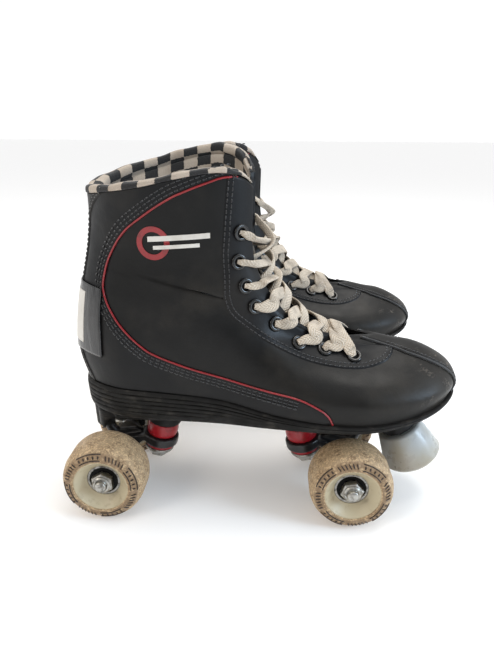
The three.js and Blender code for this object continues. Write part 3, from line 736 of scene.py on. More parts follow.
def urethane_look(name, clean, dirt, much, dirty_face=False):
    """Tan cast urethane: mottled dirt pressed into a pitted face, and a dirty band round each side."""
    look = Look(name, 0.6)
    blotches = look.between(look.noise(6.5, detail=8, roughness=0.7), 0.42, 0.6)
    flecks = look.between(look.noise(1.3, detail=6, roughness=0.62, distortion=0.8), 0.46, 0.6)
    color = look.mix(flecks, tuple(0.72 * part for part in clean), tuple(1.1 * part for part in clean))
    amount = look.times(look.calc("MAXIMUM", blotches, 0.25), look.calc("SUBTRACT", 1.15, flecks))
    if dirty_face:
        radius = look.axis("Y", look.uv())
        band_in = look.between(radius, 0.0180, 0.0188)
        band_out = look.between(radius, 0.0236, 0.0252, 1, 0)
        rubbed = look.between(look.noise(3.5, detail=6), 0.36, 0.5)
        ring = look.times(look.times(band_in, band_out), rubbed)
        amount = look.calc("MAXIMUM", look.times(amount, 0.8), ring)
        look.bump(look.noise(1.6, detail=7, roughness=0.7), 0.5, 0.8)
    color = look.mix(look.times(amount, much), color, dirt)
    look.bump(look.noise(0.8, detail=6, roughness=0.7), 0.25, 0.9)
    return look.done(color, look.between(blotches, 0, 1, 0.5, 0.8))


def core_look():
    """The wheel's moulded cream core: smooth, with a little grime in the corners."""
    look = Look("wheel_core", 0.42)
    grime = look.between(look.noise(5, detail=6, roughness=0.6), 0.5, 0.75)
    look.bump(look.noise(2.2, detail=4), 0.08, 0.5)
    return look.done(look.mix(look.times(grime, 0.45), (0.50, 0.43, 0.29), (0.24, 0.18, 0.11)))


def steel_look(name, color, roughness, tarnish, amount):
    look = Look(name, roughness, metallic=0.95)
    stain = look.between(look.noise(3, detail=7, roughness=0.65), 0.45, 0.68)
    turned = look.noise(0.5, detail=4, place=look.stretched(look.place, 0.3, 3, 0.3))
    look.bump(turned, 0.03, 0.5)
    look.bump(look.noise(1.1, detail=4), 0.05, 0.5)
    shade = look.mix(look.times(stain, amount), color, tarnish)
    return look.done(shade, look.between(stain, 0, 1, roughness, roughness + 0.3))


def cushion_look():
    look = Look("cushion_urethane", 0.38, Coat_Weight=0.15, Subsurface_Weight=0.1)
    look.shader.inputs["Subsurface Radius"].default_value = (0.003, 0.001, 0.001)
    grime = look.between(look.noise(4, detail=6, roughness=0.6), 0.5, 0.72)
    look.bump(look.noise(1.6, detail=4), 0.1, 0.5)
    return look.done(look.mix(look.times(grime, 0.6), (0.36, 0.006, 0.014), (0.10, 0.008, 0.008)))


def paint_look():
    """Black powder coat over cast metal, chipped on its edges."""
    look = Look("hanger_paint", 0.4, Coat_Weight=0.15)
    chips = look.times(look.worn_edge(), look.between(look.noise(1.6, detail=5), 0.5, 0.6))
    dust = look.between(look.noise(9, detail=5), 0.45, 0.75, 0, 0.35)
    look.bump(look.noise(0.8, detail=3), 0.1, 0.6)
    color = look.mix(dust, (0.010, 0.010, 0.011), (0.08, 0.068, 0.055))
    return look.done(look.mix(look.times(chips, 0.8), color, (0.3, 0.29, 0.27)))


def label_look():
    look = Look("blank_label", 0.5)
    smudge = look.between(look.noise(14, detail=5), 0.45, 0.75)
    look.bump(look.noise(4, detail=3), 0.12, 0.6)
    return look.done(look.mix(look.times(smudge, 0.5), (0.6, 0.58, 0.54), (0.36, 0.32, 0.27)))


def tape_look():
    """Clear tape over black vinyl: it shows as a glossy, crinkled skin."""
    look = Look("clear_tape", 0.16, Coat_Weight=0.2)
    crinkle = look.noise(9, detail=4, place=look.stretched(look.place, 1, 1, 0.35), distortion=1.2)
    look.bump(crinkle, 1.0, 0.6)
    haze = look.between(look.noise(6, detail=4), 0.5, 0.75)
    return look.done(look.mix(look.times(haze, 0.4), (0.006, 0.006, 0.007), (0.05, 0.05, 0.05)))


LOOKS = {
    "vinyl": vinyl_look("black_vinyl", (0.0055, 0.0055, 0.0055), (0.030, 0.026, 0.021)),
    # The panels' black is tinted blue: a painted blue sheen over the vinyl's own black.
    "panel": vinyl_look("black_panel_with_painted_blue_sheen", (0.004, 0.0045, 0.0055), (0.024, 0.021, 0.018), grain=0.8),
    "piping": piping_look(),
    "thread": thread_look(),
    "check": check_look(),
    "tongue": vinyl_look("tongue_vinyl", (0.02, 0.017, 0.015), (0.06, 0.05, 0.042)),
    "insole": insole_look(),
    "lace": lace_look(),
    "sole": rubber_look("sole_rubber", (0.006, 0.0055, 0.005), (0.045, 0.040, 0.033)),
    "nylon": rubber_look("plate_nylon", (0.009, 0.009, 0.009), (0.05, 0.045, 0.04), roughness=0.5),
    "stop": stop_look(),
    "urethane": urethane_look("wheel_urethane", (0.56, 0.40, 0.23), (0.14, 0.080, 0.042), 0.66, True),
    "ink": urethane_look("wheel_marks", (0.050, 0.030, 0.020), (0.02, 0.013, 0.01), 0.6),
    "core": core_look(),
    "cushion": cushion_look(),
    "paint": paint_look(),
    "zinc": steel_look("zinc_steel", (0.42, 0.41, 0.38), 0.33, (0.10, 0.085, 0.065), 0.7),
    "bearing": steel_look("bearing_steel", (0.30, 0.29, 0.27), 0.32, (0.06, 0.05, 0.04), 0.8),
    "eyelet": steel_look("black_nickel", (0.05, 0.05, 0.05), 0.16, (0.02, 0.018, 0.016), 0.3),
    # Black rubber for the bearing seals; on the eyelets' discs this dark colour is painted shade of the
    # holes.
    "dark": rubber_look("seal_black_and_painted_hole_shade", (0.004, 0.004, 0.004), (0.01, 0.01, 0.01), roughness=0.7),
    "red_mark": piping_look(),
    "white_mark": label_look(),
    "label": label_look(),
    "tape": tape_look(),
}
for mark in ("red_mark", "white_mark"):
    LOOKS[mark].name = mark


# ---------------------------------------------------------------- boot: leather

LOWEST_THROAT_ROW = lowest_throat_row()
BOTH_SIDES = (-1, 1)
PANEL_ROUNDING = 1.3             # over how many mm a panel's soft edge turns down
PANEL_UNDERSIDE = 0.6            # how far a panel reaches below the skin


def upper_shell():
    """The leather as one skin, open at the throat and the top; its thickness is added by a modifier."""
    rows = np.linspace(-0.15, TOP_ROW, 84)
    share = np.linspace(0, 1, 91)
    ends = throat_edge(rows)
    sheets = []
    for side in BOTH_SIDES:
        sheet = Shape(skin(side, ends[:, None] * share, rows[:, None]), grid_faces(len(rows), len(share)))
        sheets.append(sheet if side < 0 else sheet.flipped())
    return welded(joined(sheets))


def evenly(route, count):
    """count places along a route over the skin, evenly spaced, as (position, row)."""
    fine = smooth_line(route, 24)
    fine = np.clip(fine, 0, [FRONT, TOP_ROW])
    points = skin(-1, fine[:, 0], fine[:, 1])
    length = lengths_along(points)
    stops = np.linspace(0, length[-1], count)
    return np.stack([np.interp(stops, length, fine[:, k]) for k in (0, 1)], axis=1)


def closed_sheet(top, bottom):
    """A closed thin solid between two grids of points."""
    rows, columns = top.shape[:2]
    count = rows * columns
    over = grid_faces(rows, columns)
    under = [tuple(i + count for i in face[::-1]) for face in over]
    border = list(range(columns))
    border += [i * columns + columns - 1 for i in range(1, rows)]
    border += [(rows - 1) * columns + j for j in range(columns - 2, -1, -1)]
    border += [i * columns for i in range(rows - 2, 0, -1)]
    rim = [(a, a + count, b + count, b) for a, b in zip(border, border[1:] + border[:1])]
    points = np.concatenate([top.reshape(-1, 3), bottom.reshape(-1, 3)])
    return outward(Shape(points, over + under + rim))


def raised_panel(side, first, second, height, soft):
    """A sewn-on panel between two lines of places on the skin.

    soft names the edges that turn down to the leather: "first", "second" and "start".
    """
    ends_a = skin(side, first[:, 0], first[:, 1])
    ends_b = skin(side, second[:, 0], second[:, 1])
    width = np.linalg.norm(ends_b - ends_a, axis=1)
    border = min(0.4, PANEL_ROUNDING / max(np.median(width), 0.1))
    inside = np.linspace(border, 1 - border, max(int(np.median(width) / 3), 3))
    share = np.concatenate([[0, 0.15 * border, 0.5 * border], inside,
                            [1 - 0.5 * border, 1 - 0.15 * border, 1]])
    places = first[:, None] * (1 - share[:, None]) + second[:, None] * share[:, None]
    middle = (ends_a + ends_b) / 2
    run = lengths_along(middle)
    gap = np.full(places.shape[:2], np.inf)
    if "first" in soft:
        gap = np.minimum(gap, share * width[:, None])
    if "second" in soft:
        gap = np.minimum(gap, (1 - share) * width[:, None])
    if "start" in soft:
        gap = np.minimum(gap, run[:, None])
    dip = 0.3
    rise = (height + dip) * np.sin(math.pi / 2 * np.clip(gap / PANEL_ROUNDING, 0, 1)) - dip
    top = boot_point(side, places[..., 0], places[..., 1], -rise)
    bottom = boot_point(side, places[..., 0], places[..., 1], PANEL_UNDERSIDE)
    return closed_sheet(top, bottom)


def throat_route():
    """The throat's edge, from the collar down to the toe end, as (position, row)."""
    rows = np.linspace(TOP_ROW, LOWEST_THROAT_ROW + 0.002, 60)
    return np.stack([throat_edge(rows), rows], axis=1)


def stay_panel(side):
    """The panel that carries the eyelets, from the collar down and along the vamp to the toe strip."""
    count = 110
    throat = evenly(throat_route(), count)
    return raised_panel(side, throat, evenly(STAY_EDGE, count), OVERLAY, ("second",))


def heel_panel(side):
    """The panel round the heel, outside the curved piping, from the collar to the sole."""
    top_share, back_share, count = 0.22, 0.53, 150
    share = np.linspace(0, 1, count)
    last = PIPING[-1][0]
    position = np.interp(share, [0, top_share, back_share, 1], [PIPING[0][0], 0, 0, last])
    row = np.interp(share, [0, top_share, back_share, 1], [TOP_ROW, TOP_ROW, 0, 0])
    heel = np.stack([position, row], axis=1)
    return raised_panel(side, evenly(PIPING, count), heel, OVERLAY, ("first",))


def back_strap(side):
    count = 80
    seam = np.stack([np.zeros(count), np.linspace(TOP_ROW, 0, count)], axis=1)
    return raised_panel(side, seam, evenly(BACK_STRAP, count), 2 * OVERLAY, ("second",))


def toe_strip(side):
    count = 60
    rows = np.linspace(TOE_STRIP[0][1], 0, count)
    ridge = np.stack([np.full(count, FRONT), rows], axis=1)
    return raised_panel(side, ridge, evenly(TOE_STRIP, count), 2.1 * OVERLAY, ("second", "start"))


def piping(side, route=PIPING, radius=0.6, proud=0.6):
    points, normals = along_skin(side, route, 1.5, -proud)
    return band(points, normals, radius, radius, sides=8, squareness=1)


def stitch_row(side, route, offset, proud, spacing=3.1, half_length=1.15, half_width=0.42):
    """Stitches along a route; a positive offset is to the right of it, seen from outside a right skate."""
    points, normals = along_skin(side, route, spacing, -proud)
    tangent = unit(np.gradient(points, axis=0))
    across = np.cross(tangent, normals) * -side
    stitch = bead(half_length, half_width, 0.33)
    middle = (points[1:] + points[:-1]) / 2 + across[:-1] * offset
    return joined([stitch.facing(*stand) for stand in zip(middle, tangent, normals)])


def stitching(side):
    rows = [stitch_row(side, STAY_EDGE, offset, OVERLAY) for offset in (-1.5, -4.2)]
    rows += [stitch_row(side, PIPING[:-3], offset, OVERLAY, 3.3, 1.3, 0.5) for offset in (2.2, 4.4, 6.6)]
    rows += [stitch_row(side, BACK_STRAP, offset, 2 * OVERLAY - 0.22) for offset in (1.5, 3.4)]
    rows.append(stitch_row(side, TOE_STRIP[1:-1], -2.4, 2.1 * OVERLAY, spacing=2.8))
    return joined(rows)


def red_stitch_row(side):
    """A short row of red stitches that carries the piping's line on to the collar's front corner."""
    return stitch_row(side, [PIPING[0], (6.2, 8.99), (6.4, 9.0)], 0.2, OVERLAY, 2.2, 0.8, 0.5)


# ---------------------------------------------------------------- boot: eyelets and lace

LACE_HALF_THICKNESS = 0.75
LACE_STEPS = 10                  # steps of a lace's line between two of its stops


def eyelet(side, place):
    """A rolled metal ring round a hole, standing on the stay; the hole's shade is painted on a dark disc."""
    ring = lathe(rounded([(2.7, 0.1), (2.7, 1.7), (4.8, 1.7), (4.8, 0.1)], 1.0, closed=True), 28)
    return on_stay(ring, side, place)


# A dark disc inside each eyelet, where the hole would be: painted shade.
def eyelet_hole(side, place):
    return on_stay(lathe([(0, 0.1), (2.8, 0.1), (2.8, 0.35), (0, 0.35)], 20), side, place)


def on_stay(shape, side, place):
    """Stands a shape built about Y on the eyelet stay."""
    origin = boot_point(side, *place, -OVERLAY)
    along = skin(side, place[0] + 0.05, place[1]) - skin(side, place[0] - 0.05, place[1])
    return shape.facing(origin, along, skin_normal(side, *place))


THROAT_ROWS = np.linspace(LOWEST_THROAT_ROW + 0.02, TOP_ROW, 400)
THROAT_LINE = skin(-1, throat_edge(THROAT_ROWS), THROAT_ROWS)
THROAT_RUN = lengths_along(THROAT_LINE)
RIDGE_LINE = skin(-1, FRONT, THROAT_ROWS)


def throat_row(place, toeward=0.0):
    """The row of the throat's edge beside an eyelet, or some mm toe-ward of there."""
    beside = np.argmin(np.linalg.norm(THROAT_LINE - skin(-1, *place), axis=1))
    return float(np.interp(THROAT_RUN[beside] - toeward, THROAT_RUN, THROAT_ROWS))


def ridge_row(row):
    """The row of the front centre line straight across from the throat's edge in a row."""
    edge = skin(-1, throat_edge(row), row)[0] * np.array([1, 0, 1])
    return float(THROAT_ROWS[np.argmin(np.linalg.norm(RIDGE_LINE - edge, axis=1))])


# How far each crossing stands out at the middle, in mm, and how wide the lace lies in it, from the top.
LACE_SLACK = [6, 4.5, 3.5, 2.5, 2, 1.5, 1.5]
LACE_SPREAD = [0.6, 0.62, 0.68, 1, 1, 1, 1]
# How far toe-ward of its eyelet a crossing leaves its stay, meets the middle and dives under the other stay.
LACE_LEAVES, LACE_MEETS, LACE_DIVES = 5, 11.5, 17.5


def lace_strand(side, index):
    """One crossing: out of an eyelet, over the tongue toward the toe and in under the other stay."""
    position, row = place = EYELETS[index]
    leaving = throat_row(place, LACE_LEAVES)
    middle_row = ridge_row(throat_row(place, LACE_MEETS))
    entering = throat_row(place, LACE_DIVES)
    centre_depth = -LACE_SLACK[index] if side > 0 else 2.4 - LACE_SLACK[index]
    edge_out = float(throat_edge(leaving)[0])
    edge_in = float(throat_edge(entering)[0])
    lean = edge_out - position
    climb = leaving - row
    stops = [
        (side, position - 0.02, row, -0.4),
        (side, position + 0.2 * lean, row + 0.2 * climb, -2.6),
        (side, position + 0.6 * lean, row + 0.6 * climb, -3.0),
        (side, edge_out, leaving, -2.6),
        (side, FRONT, middle_row, centre_depth),
        (-side, edge_in, entering, 2.6),
        (-side, edge_in - 0.3, entering, 5.4),
    ]
    share = np.linspace(0, 1, (len(stops) - 1) * LACE_STEPS + 1)
    flare = smoothstep(share, 0.0, 0.3)
    wobble = 1 + 0.06 * np.sin(share * 9 + 2.1 * index + side)
    half_width = (0.55 + 0.45 * flare) * LACE_WIDTH / 2 * wobble * LACE_SPREAD[index]
    half_thickness = LACE_HALF_THICKNESS * (2.1 - 1.1 * flare) / LACE_SPREAD[index] ** 0.5
    loose = 1.1 if LACE_SPREAD[index] < 1 else 0.15
    twist = loose * np.sin(share * 5 + 1.7 * index + side) * flare * (1 - smoothstep(share, 0.7, 0.95))
    return lace_through(stops, half_width, half_thickness, twist)


def lace_through(stops, half_width, half_thickness, twist):
    """A flat lace through (side, position, row, depth) stops, turned by twist about its own length."""
    line = smooth_line([boot_point(*stop) for stop in stops], LACE_STEPS)
    upward = unit(smooth_line([skin_normal(side, u, v) for side, u, v, _ in stops], LACE_STEPS))
    across = np.cross(unit(np.gradient(line, axis=0)), upward)
    twist = np.broadcast_to(twist, len(line))[:, None]
    upward = unit(upward * np.cos(twist) + across * np.sin(twist))
    return band(line, upward, half_width, half_thickness, sides=12)


def lowest_lace():
    """The straight bar of lace across the throat's toe end, from eyelet to eyelet."""
    position, row = EYELETS[-1]
    beside = throat_row(EYELETS[-1])
    edge = float(throat_edge(beside)[0])
    half = [(position - 0.02, row, -0.4), (0.8 * position + 0.2 * edge, 0.8 * row + 0.2 * beside, -2.7),
            (0.3 * position + 0.7 * edge, 0.3 * row + 0.7 * beside, -3.2)]
    middle = (-1, FRONT, ridge_row(throat_row(EYELETS[-1], 3)), -2.6)
    stops = [*[(1, *stop) for stop in half], middle, *[(-1, *stop) for stop in half[::-1]]]
    share = np.abs(np.linspace(-1, 1, (len(stops) - 1) * LACE_STEPS + 1))
    flare = 1 - smoothstep(share, 0.65, 1)
    half_width = (0.6 + 0.4 * flare) * LACE_WIDTH / 2
    return lace_through(stops, half_width, LACE_HALF_THICKNESS * (1.9 - 0.9 * flare), 0.0)


def laces():
    """Both sides' crossings and the bar at the toe end, as one lace."""
    strands = [lace_strand(side, index) for side in BOTH_SIDES for index in range(len(EYELETS) - 1)]
    return joined([*strands, lowest_lace()])


# ---------------------------------------------------------------- boot: lining, tongue, insole, sole

LINING_DEPTH = 3.8


def collar_lining():
    """The padded lining, which rolls over the collar's edge; the check follows it in even squares."""
    stations = 121
    last = 7.5
    rings = []
    for k in np.linspace(-1, 1, stations):
        side = -1 if k <= 0 else 1
        u = abs(k) * last
        lowest = 2.2 + 3.55 * float(smoothstep(u, 3.5, 6.5))
        levels = np.linspace(lowest, 8.1, 7)
        padding = 5 - 3 * float(smoothstep(u, 5, last))
        steep = float(smoothstep(u, 5.5, last))
        pucker = 0.5 * math.sin(k * 31) + 0.35 * math.sin(k * 57 + 1)
        falling = 1.6 * steep + 2 * float(smoothstep(u, 0, 4)) if side < 0 else 3.2 * steep
        roll = 5.2 - falling + 0.6 * pucker
        lip = (1.9 + 0.4 * pucker) * (1 - 0.9 * steep)

        def rim(depth, rise):
            return boot_point(side, u, TOP_ROW, depth) + np.array([0, 0, rise + steep])

        outer = [boot_point(side, u, v, LINING_DEPTH + 2.4 * steep * (v < 6)) for v in levels]
        inner = [boot_point(side, u, v, LINING_DEPTH + padding * (1 if v > 5 else 0.6)) for v in levels]
        over = [rim(LINING_DEPTH, 1.4), rim(0.5, 0.4), rim(0.4 - lip, 0.6), rim(-lip, roll * 0.5),
                rim(0.8 - lip, roll * 0.9), rim(UPPER_THICKNESS - 1, roll)]
        inside = [rim(LINING_DEPTH + padding * share, rise)
                  for share, rise in ((0.6, roll * 0.8), (0.8, 0), (0.45, -2.2), (0.9, -4.5))]
        ring = [*outer, *over, *inside, *inner[::-1]]
        rings.append(smooth_line([*ring, ring[0]], 4)[:-1])
    rings = np.array(rings)
    count = rings.shape[1]
    rim_index = 4 * (len(levels) + 5)
    top = rings[:, rim_index]
    along = lengths_along(top)
    lengths = np.linalg.norm(np.diff(rings, axis=1), axis=2)
    around = np.concatenate([np.zeros((stations, 1)), np.cumsum(lengths, axis=1)], axis=1)
    around -= around[:, rim_index, None]
    pattern = np.stack(np.broadcast_arrays(along[:, None], around), axis=-1)
    faces = grid_faces(stations, count, close_columns=True)
    last_ring = (stations - 1) * count
    for j in range(count // 2 - 1):
        strip = (j, j + 1, count - 2 - j, count - 1 - j)
        faces.append(strip[::-1])
        faces.append(tuple(i + last_ring for i in strip))
    return outward(Shape(rings, faces, pattern))


def tongue_layer(near, far):
    """One layer of the tongue between two depths, thinner at its edges; it stands up above the collar."""
    columns = np.linspace(-1, 1, 33)
    reach = 3.15
    share = np.linspace(0, 1, 60)
    thin = 1 - np.abs(columns) ** 6
    middle = (near + far) / 2
    faces_of = []
    for depth, lip in ((near, 1), (far, 0.9)):
        strips = []
        for c, t in zip(columns, thin):
            side, fall = (-1, 0.55) if c <= 0 else (1, 0.95)
            rows = 5.2 + (TOP_ROW - fall * abs(c) ** 1.5 - 5.2) * share
            strips.append(boot_point(side, FRONT - abs(c) * reach, rows, middle + (depth - middle) * t))
        grid = np.stack(strips, axis=1)
        top = grid[-1]
        rise = 1.5 * (1 - 0.55 * columns ** 2) * lip
        way = np.stack([-0.5 * rise, 0 * rise, 1.3 * rise], axis=1)
        faces_of.append(np.concatenate([grid, np.array([top + step * way for step in (0.4, 0.75, 1.0)])]))
    return closed_sheet(*faces_of)


def with_even_pattern(shape):
    """Lays the pattern over the shape as seen from the front: across it and up it."""
    shape.pattern = np.stack([shape.points[:, 1], shape.points[:, 2]], axis=1)
    return shape


def insole():
    levels = ((LINING_DEPTH, 0.8), (LINING_DEPTH, 3.6), (LINING_DEPTH + 0.8, 4.8))
    shape = ring_solid([skate_ring(0.15, inset) + np.array([0, 0, rise]) for inset, rise in levels])
    shape.pattern = shape.points[:, :2].copy()
    return shape


def skate_ring(v, depth):
    """A ring of points round the boot: along the outer side to the toe and back along the inner side."""
    u = np.linspace(0, FRONT, 61)
    outer = boot_point(-1, u, v, depth)
    inner = boot_point(1, u[-2:0:-1], v, depth)
    return np.concatenate([outer, inner])


def ring_solid(rings):
    """A closed solid through rings whose point j faces point n - j, with strips across its two ends."""
    rings = np.array(rings)
    rows, count = rings.shape[:2]
    faces = grid_faces(rows, count, close_columns=True)
    for j in range(count // 2):
        corners = list(dict.fromkeys([j, j + 1, count - j - 1, (count - j) % count]))
        faces.append(tuple(corners[::-1]))
        faces.append(tuple(i + (rows - 1) * count for i in corners))
    return outward(Shape(rings, faces))


SOLE_GROOVES = [0.3, 0.44, 0.58, 0.72, 0.86]


def outsole():
    """The rubber sole: five grooves round the heel fade out along the arch, and one runs on to the toe."""
    steps_over_groove = np.array([-0.035, -0.015, 0, 0.015, 0.035])
    over_grooves = [groove + steps_over_groove for groove in SOLE_GROOVES]
    heights = np.unique(np.concatenate([np.linspace(0, 1, 21), *over_grooves]))
    base = skate_ring(0, 0)
    outline = unit(np.stack([base[:, 0] - np.clip(base[:, 0], -62, 98), base[:, 1], 0 * base[:, 0]], axis=1))
    low = curve_at(SOLE_UNDERSIDE, base[:, 0])
    high = curve_at(FEATHERLINE, base[:, 0]) - 0.6
    rings = []
    for height in heights:
        out = np.interp(height, [0, 0.05, 0.14, 0.3, 0.75, 0.93, 1], [-4, -0.8, 0.9, 1.9, 2.6, 2.4, 1.4])
        for k, groove in enumerate(SOLE_GROOVES):
            lasting = 1 if groove == 0.72 else 1 - smoothstep(base[:, 0], -40 + 14 * k, 10 + 14 * k)
            ragged = 0.75 + 0.25 * np.sin(base[:, 0] * 0.21 + 2 * k)
            out = out - 1.15 * lasting * ragged * math.exp(-((height - groove) / 0.02) ** 2)
        ring = base + outline * out[:, None]
        ring[:, 2] = low + (high - low) * height
        rings.append(ring)
    return ring_solid(rings)


# ---------------------------------------------------------------- boot: marks

def on_side(x, z):
    """The place on the outer side that shows at x and z in side view."""
    x, z = np.broadcast_arrays(np.asarray(x, float), np.asarray(z, float))
    u = np.full(x.shape, 3.5)
    v = np.full(x.shape, 7.0)
    step = 1e-3
    for _ in range(14):
        here = skin(-1, u, v)[..., [0, 2]]
        du = (skin(-1, u + step, v)[..., [0, 2]] - here) / step
        dv = (skin(-1, u, v + step)[..., [0, 2]] - here) / step
        miss = np.stack([x, z], axis=-1) - here
        size = du[..., 0] * dv[..., 1] - du[..., 1] * dv[..., 0]
        u = np.clip(u + (miss[..., 0] * dv[..., 1] - miss[..., 1] * dv[..., 0]) / size, 0, FRONT)
        v = np.clip(v + (du[..., 0] * miss[..., 1] - du[..., 1] * miss[..., 0]) / size, 0, TOP_ROW)
    return np.stack([u, v], axis=-1)


def printed(side, x, z, proud):
    """A thin print on the quarter over a grid of side-view places."""
    places = on_side(x, z)
    top = boot_point(side, places[..., 0], places[..., 1], -proud)
    bottom = boot_point(side, places[..., 0], places[..., 1], 0.4)
    return closed_sheet(top, bottom)


MARK_X, MARK_Z = -42, 181


def ring_mark(side, inner, outer):
    angle = np.linspace(0, 2 * math.pi, 73)[:, None]
    radius = np.linspace(inner, outer, 4)
    return welded(printed(side, MARK_X + radius * np.cos(angle), MARK_Z + radius * np.sin(angle), 0.35))


def bar_marks(side):
    """Two plain level bars that trail forward from the ring."""
    bars = []
    for start, end, level, half in ((-3, 33, 2.5, 1.5), (0, 27, -2.6, 1.1)):
        ahead = np.linspace(start, end, 24)[:, None]
        z = MARK_Z + level + np.linspace(-half, half, 4) + 0.08 * ahead
        bars.append(printed(side, MARK_X + ahead, z, 0.45))
    return joined(bars)


def skin_patch(side, positions, rows, proud):
    u = np.linspace(*positions, 30)[:, None]
    v = np.linspace(*rows, 40)
    places = np.stack(np.broadcast_arrays(u, v), axis=-1)
    top = boot_point(side, places[..., 0], places[..., 1], -proud)
    bottom = boot_point(side, places[..., 0], places[..., 1], -proud + 0.8)
    return closed_sheet(top, bottom)


# ---------------------------------------------------------------- wheels and axles, built about Y


def mirrored_profile(half):
    return [*half, *[(radius, -y) for radius, y in half[::-1]]]


WHEEL_FACE = [(WHEEL_RADIUS, 6.5), (26.2, 10.5), (24.4, 13.4), (21.8, 15.5), (19.2, WHEEL_HALF_WIDTH),
              (17.9, 15.5)]
MARK_RADIUS = 21.9               # middle of the ring of marks on a wheel's side


def wheel_tyre():
    half = [*rounded(WHEEL_FACE, 1.5, 3), (17.6, 13.5)]
    tyre = lathe(mirrored_profile(half), 96)
    tyre.pattern[:, 1] = np.hypot(tyre.points[:, 0], tyre.points[:, 2])
    return tyre


def wheel_core():
    half = [(17.8, 14.9), (17.2, 14.9), (12.6, 9.4), (11.6, 8.6), (BEARING_RADIUS + 0.05, 8.3)]
    return lathe(mirrored_profile(half), 96)


def face_height(radius):
    places = sorted(WHEEL_FACE)
    return float(np.interp(radius, [r for r, _ in places], [y for _, y in places]))


def wheel_marks():
    """Raised bars and arcs round each side of the wheel, in place of any lettering."""
    shapes = []
    for sense in (1, -1):
        for group in range(4):
            middle = group * math.pi / 2
            for k in range(6):
                shapes.append(mark_bar(middle + (k - 2.5) * 0.105, sense, 0.35, 2.0, 0.5))
            for k in range(5):
                shapes.append(mark_bar(middle + math.pi / 4 + (k - 2) * 0.15, sense, 0, 1.1, 0.65))
            for radius in (19.9, 23.7):
                span = np.linspace(middle + 0.42, middle + math.pi / 2 - 0.42, 22)
                height = np.full(22, sense * (face_height(radius) + 0.05))
                points = np.stack([radius * np.cos(span), height, radius * np.sin(span)], axis=1)
                normals = np.tile([0.0, sense, 0.0], (22, 1))
                shapes.append(band(points, normals, 0.38, 0.4, sides=6))
    return joined(shapes)


def mark_bar(angle, sense, lean, half_length, half_width):
    """A raised bar on a wheel's side that points outward, leaning round the wheel by lean."""
    outward_way = np.array([math.cos(angle), 0, math.sin(angle)])
    round_way = np.array([-math.sin(angle), 0, math.cos(angle)])
    slope = np.array([0, -0.5 * sense, 0])
    along = outward_way + round_way * lean + slope
    upward = np.array([0, sense, 0]) + outward_way * 0.5
    origin = outward_way * MARK_RADIUS + np.array([0, sense * face_height(MARK_RADIUS), 0])
    return bead(half_length, half_width, 0.3).facing(origin, along, upward)


def bearing_shields():
    """The black rubber seals that close both bearings."""
    seal = [(5.7, 7.3), (9.6, 7.3), (9.6, 7.5), (5.7, 7.5)]
    return joined([lathe([(radius, sense * y) for radius, y in seal], 56) for sense in (1, -1)])


def bearing_pair():
    half = [(AXLE_RADIUS + 0.25, BEARING_REACH), (5.8, BEARING_REACH), (5.95, 7.45), (9.35, 7.35),
            (9.5, BEARING_REACH), (10.75, BEARING_REACH), (BEARING_RADIUS, 7.7), (BEARING_RADIUS, 1), (6, 1)]
    return lathe(mirrored_profile(half), 56)


def threaded_axle():
    """The axle, with rolled threads at both ends."""
    thread_start, pitch, depth = 45.5, 1.1, 0.4
    half = [(AXLE_RADIUS, 0), (AXLE_RADIUS, thread_start)]
    y = thread_start
    while y + pitch < AXLE_HALF_LENGTH - 0.9:
        half += [(AXLE_RADIUS - depth, y + 0.35 * pitch), (AXLE_RADIUS, y + 0.75 * pitch)]
        y += pitch
    end = AXLE_HALF_LENGTH
    half += [(AXLE_RADIUS - 0.1, end - 0.9), (AXLE_RADIUS - 0.9, end), (0, end)]
    return lathe([*[(r, -y) for r, y in half[::-1]], *half[1:]], 32)


def lock_nut():
    """A hexagonal nut with a nylon collar, seated at y 0 and reaching to its thickness."""
    corner = NUT_FLATS / 2 / math.cos(math.pi / 6)
    bore = AXLE_RADIUS + 0.15
    hexagon = [(bore, 0), (corner - 0.7, 0), (corner, 0.6), (corner, 4.2), (corner - 0.8, 4.8), (bore, 4.8)]
    body = lathe(hexagon, 6)
    collar = lathe([(bore, 4.5), (5.9, 4.5), (5.9, 5.4), (5.2, NUT_THICKNESS), (bore, NUT_THICKNESS)], 28)
    return joined([body, collar])


def washer():
    return lathe([(AXLE_RADIUS + 0.1, 0.02), (6.3, 0.02), (6.3, 0.28), (AXLE_RADIUS + 0.1, 0.28)], 28)


# ---------------------------------------------------------------- trucks, built as the front one


def upright(shape):
    """Stands a shape built about Y up along Z."""
    return shape.turned("X", math.pi / 2)


def on_kingpin(shape):
    """Carries a shape built about Y onto the kingpin's leaning line, with its y 0 at the hanger's ring."""
    return upright(shape).turned("Y", -KINGPIN_LEAN).moved(RING_X, 0, RING_Z)


def at_front(shape):
    return shape


def at_rear(shape):
    return shape.turned("Z", math.pi)


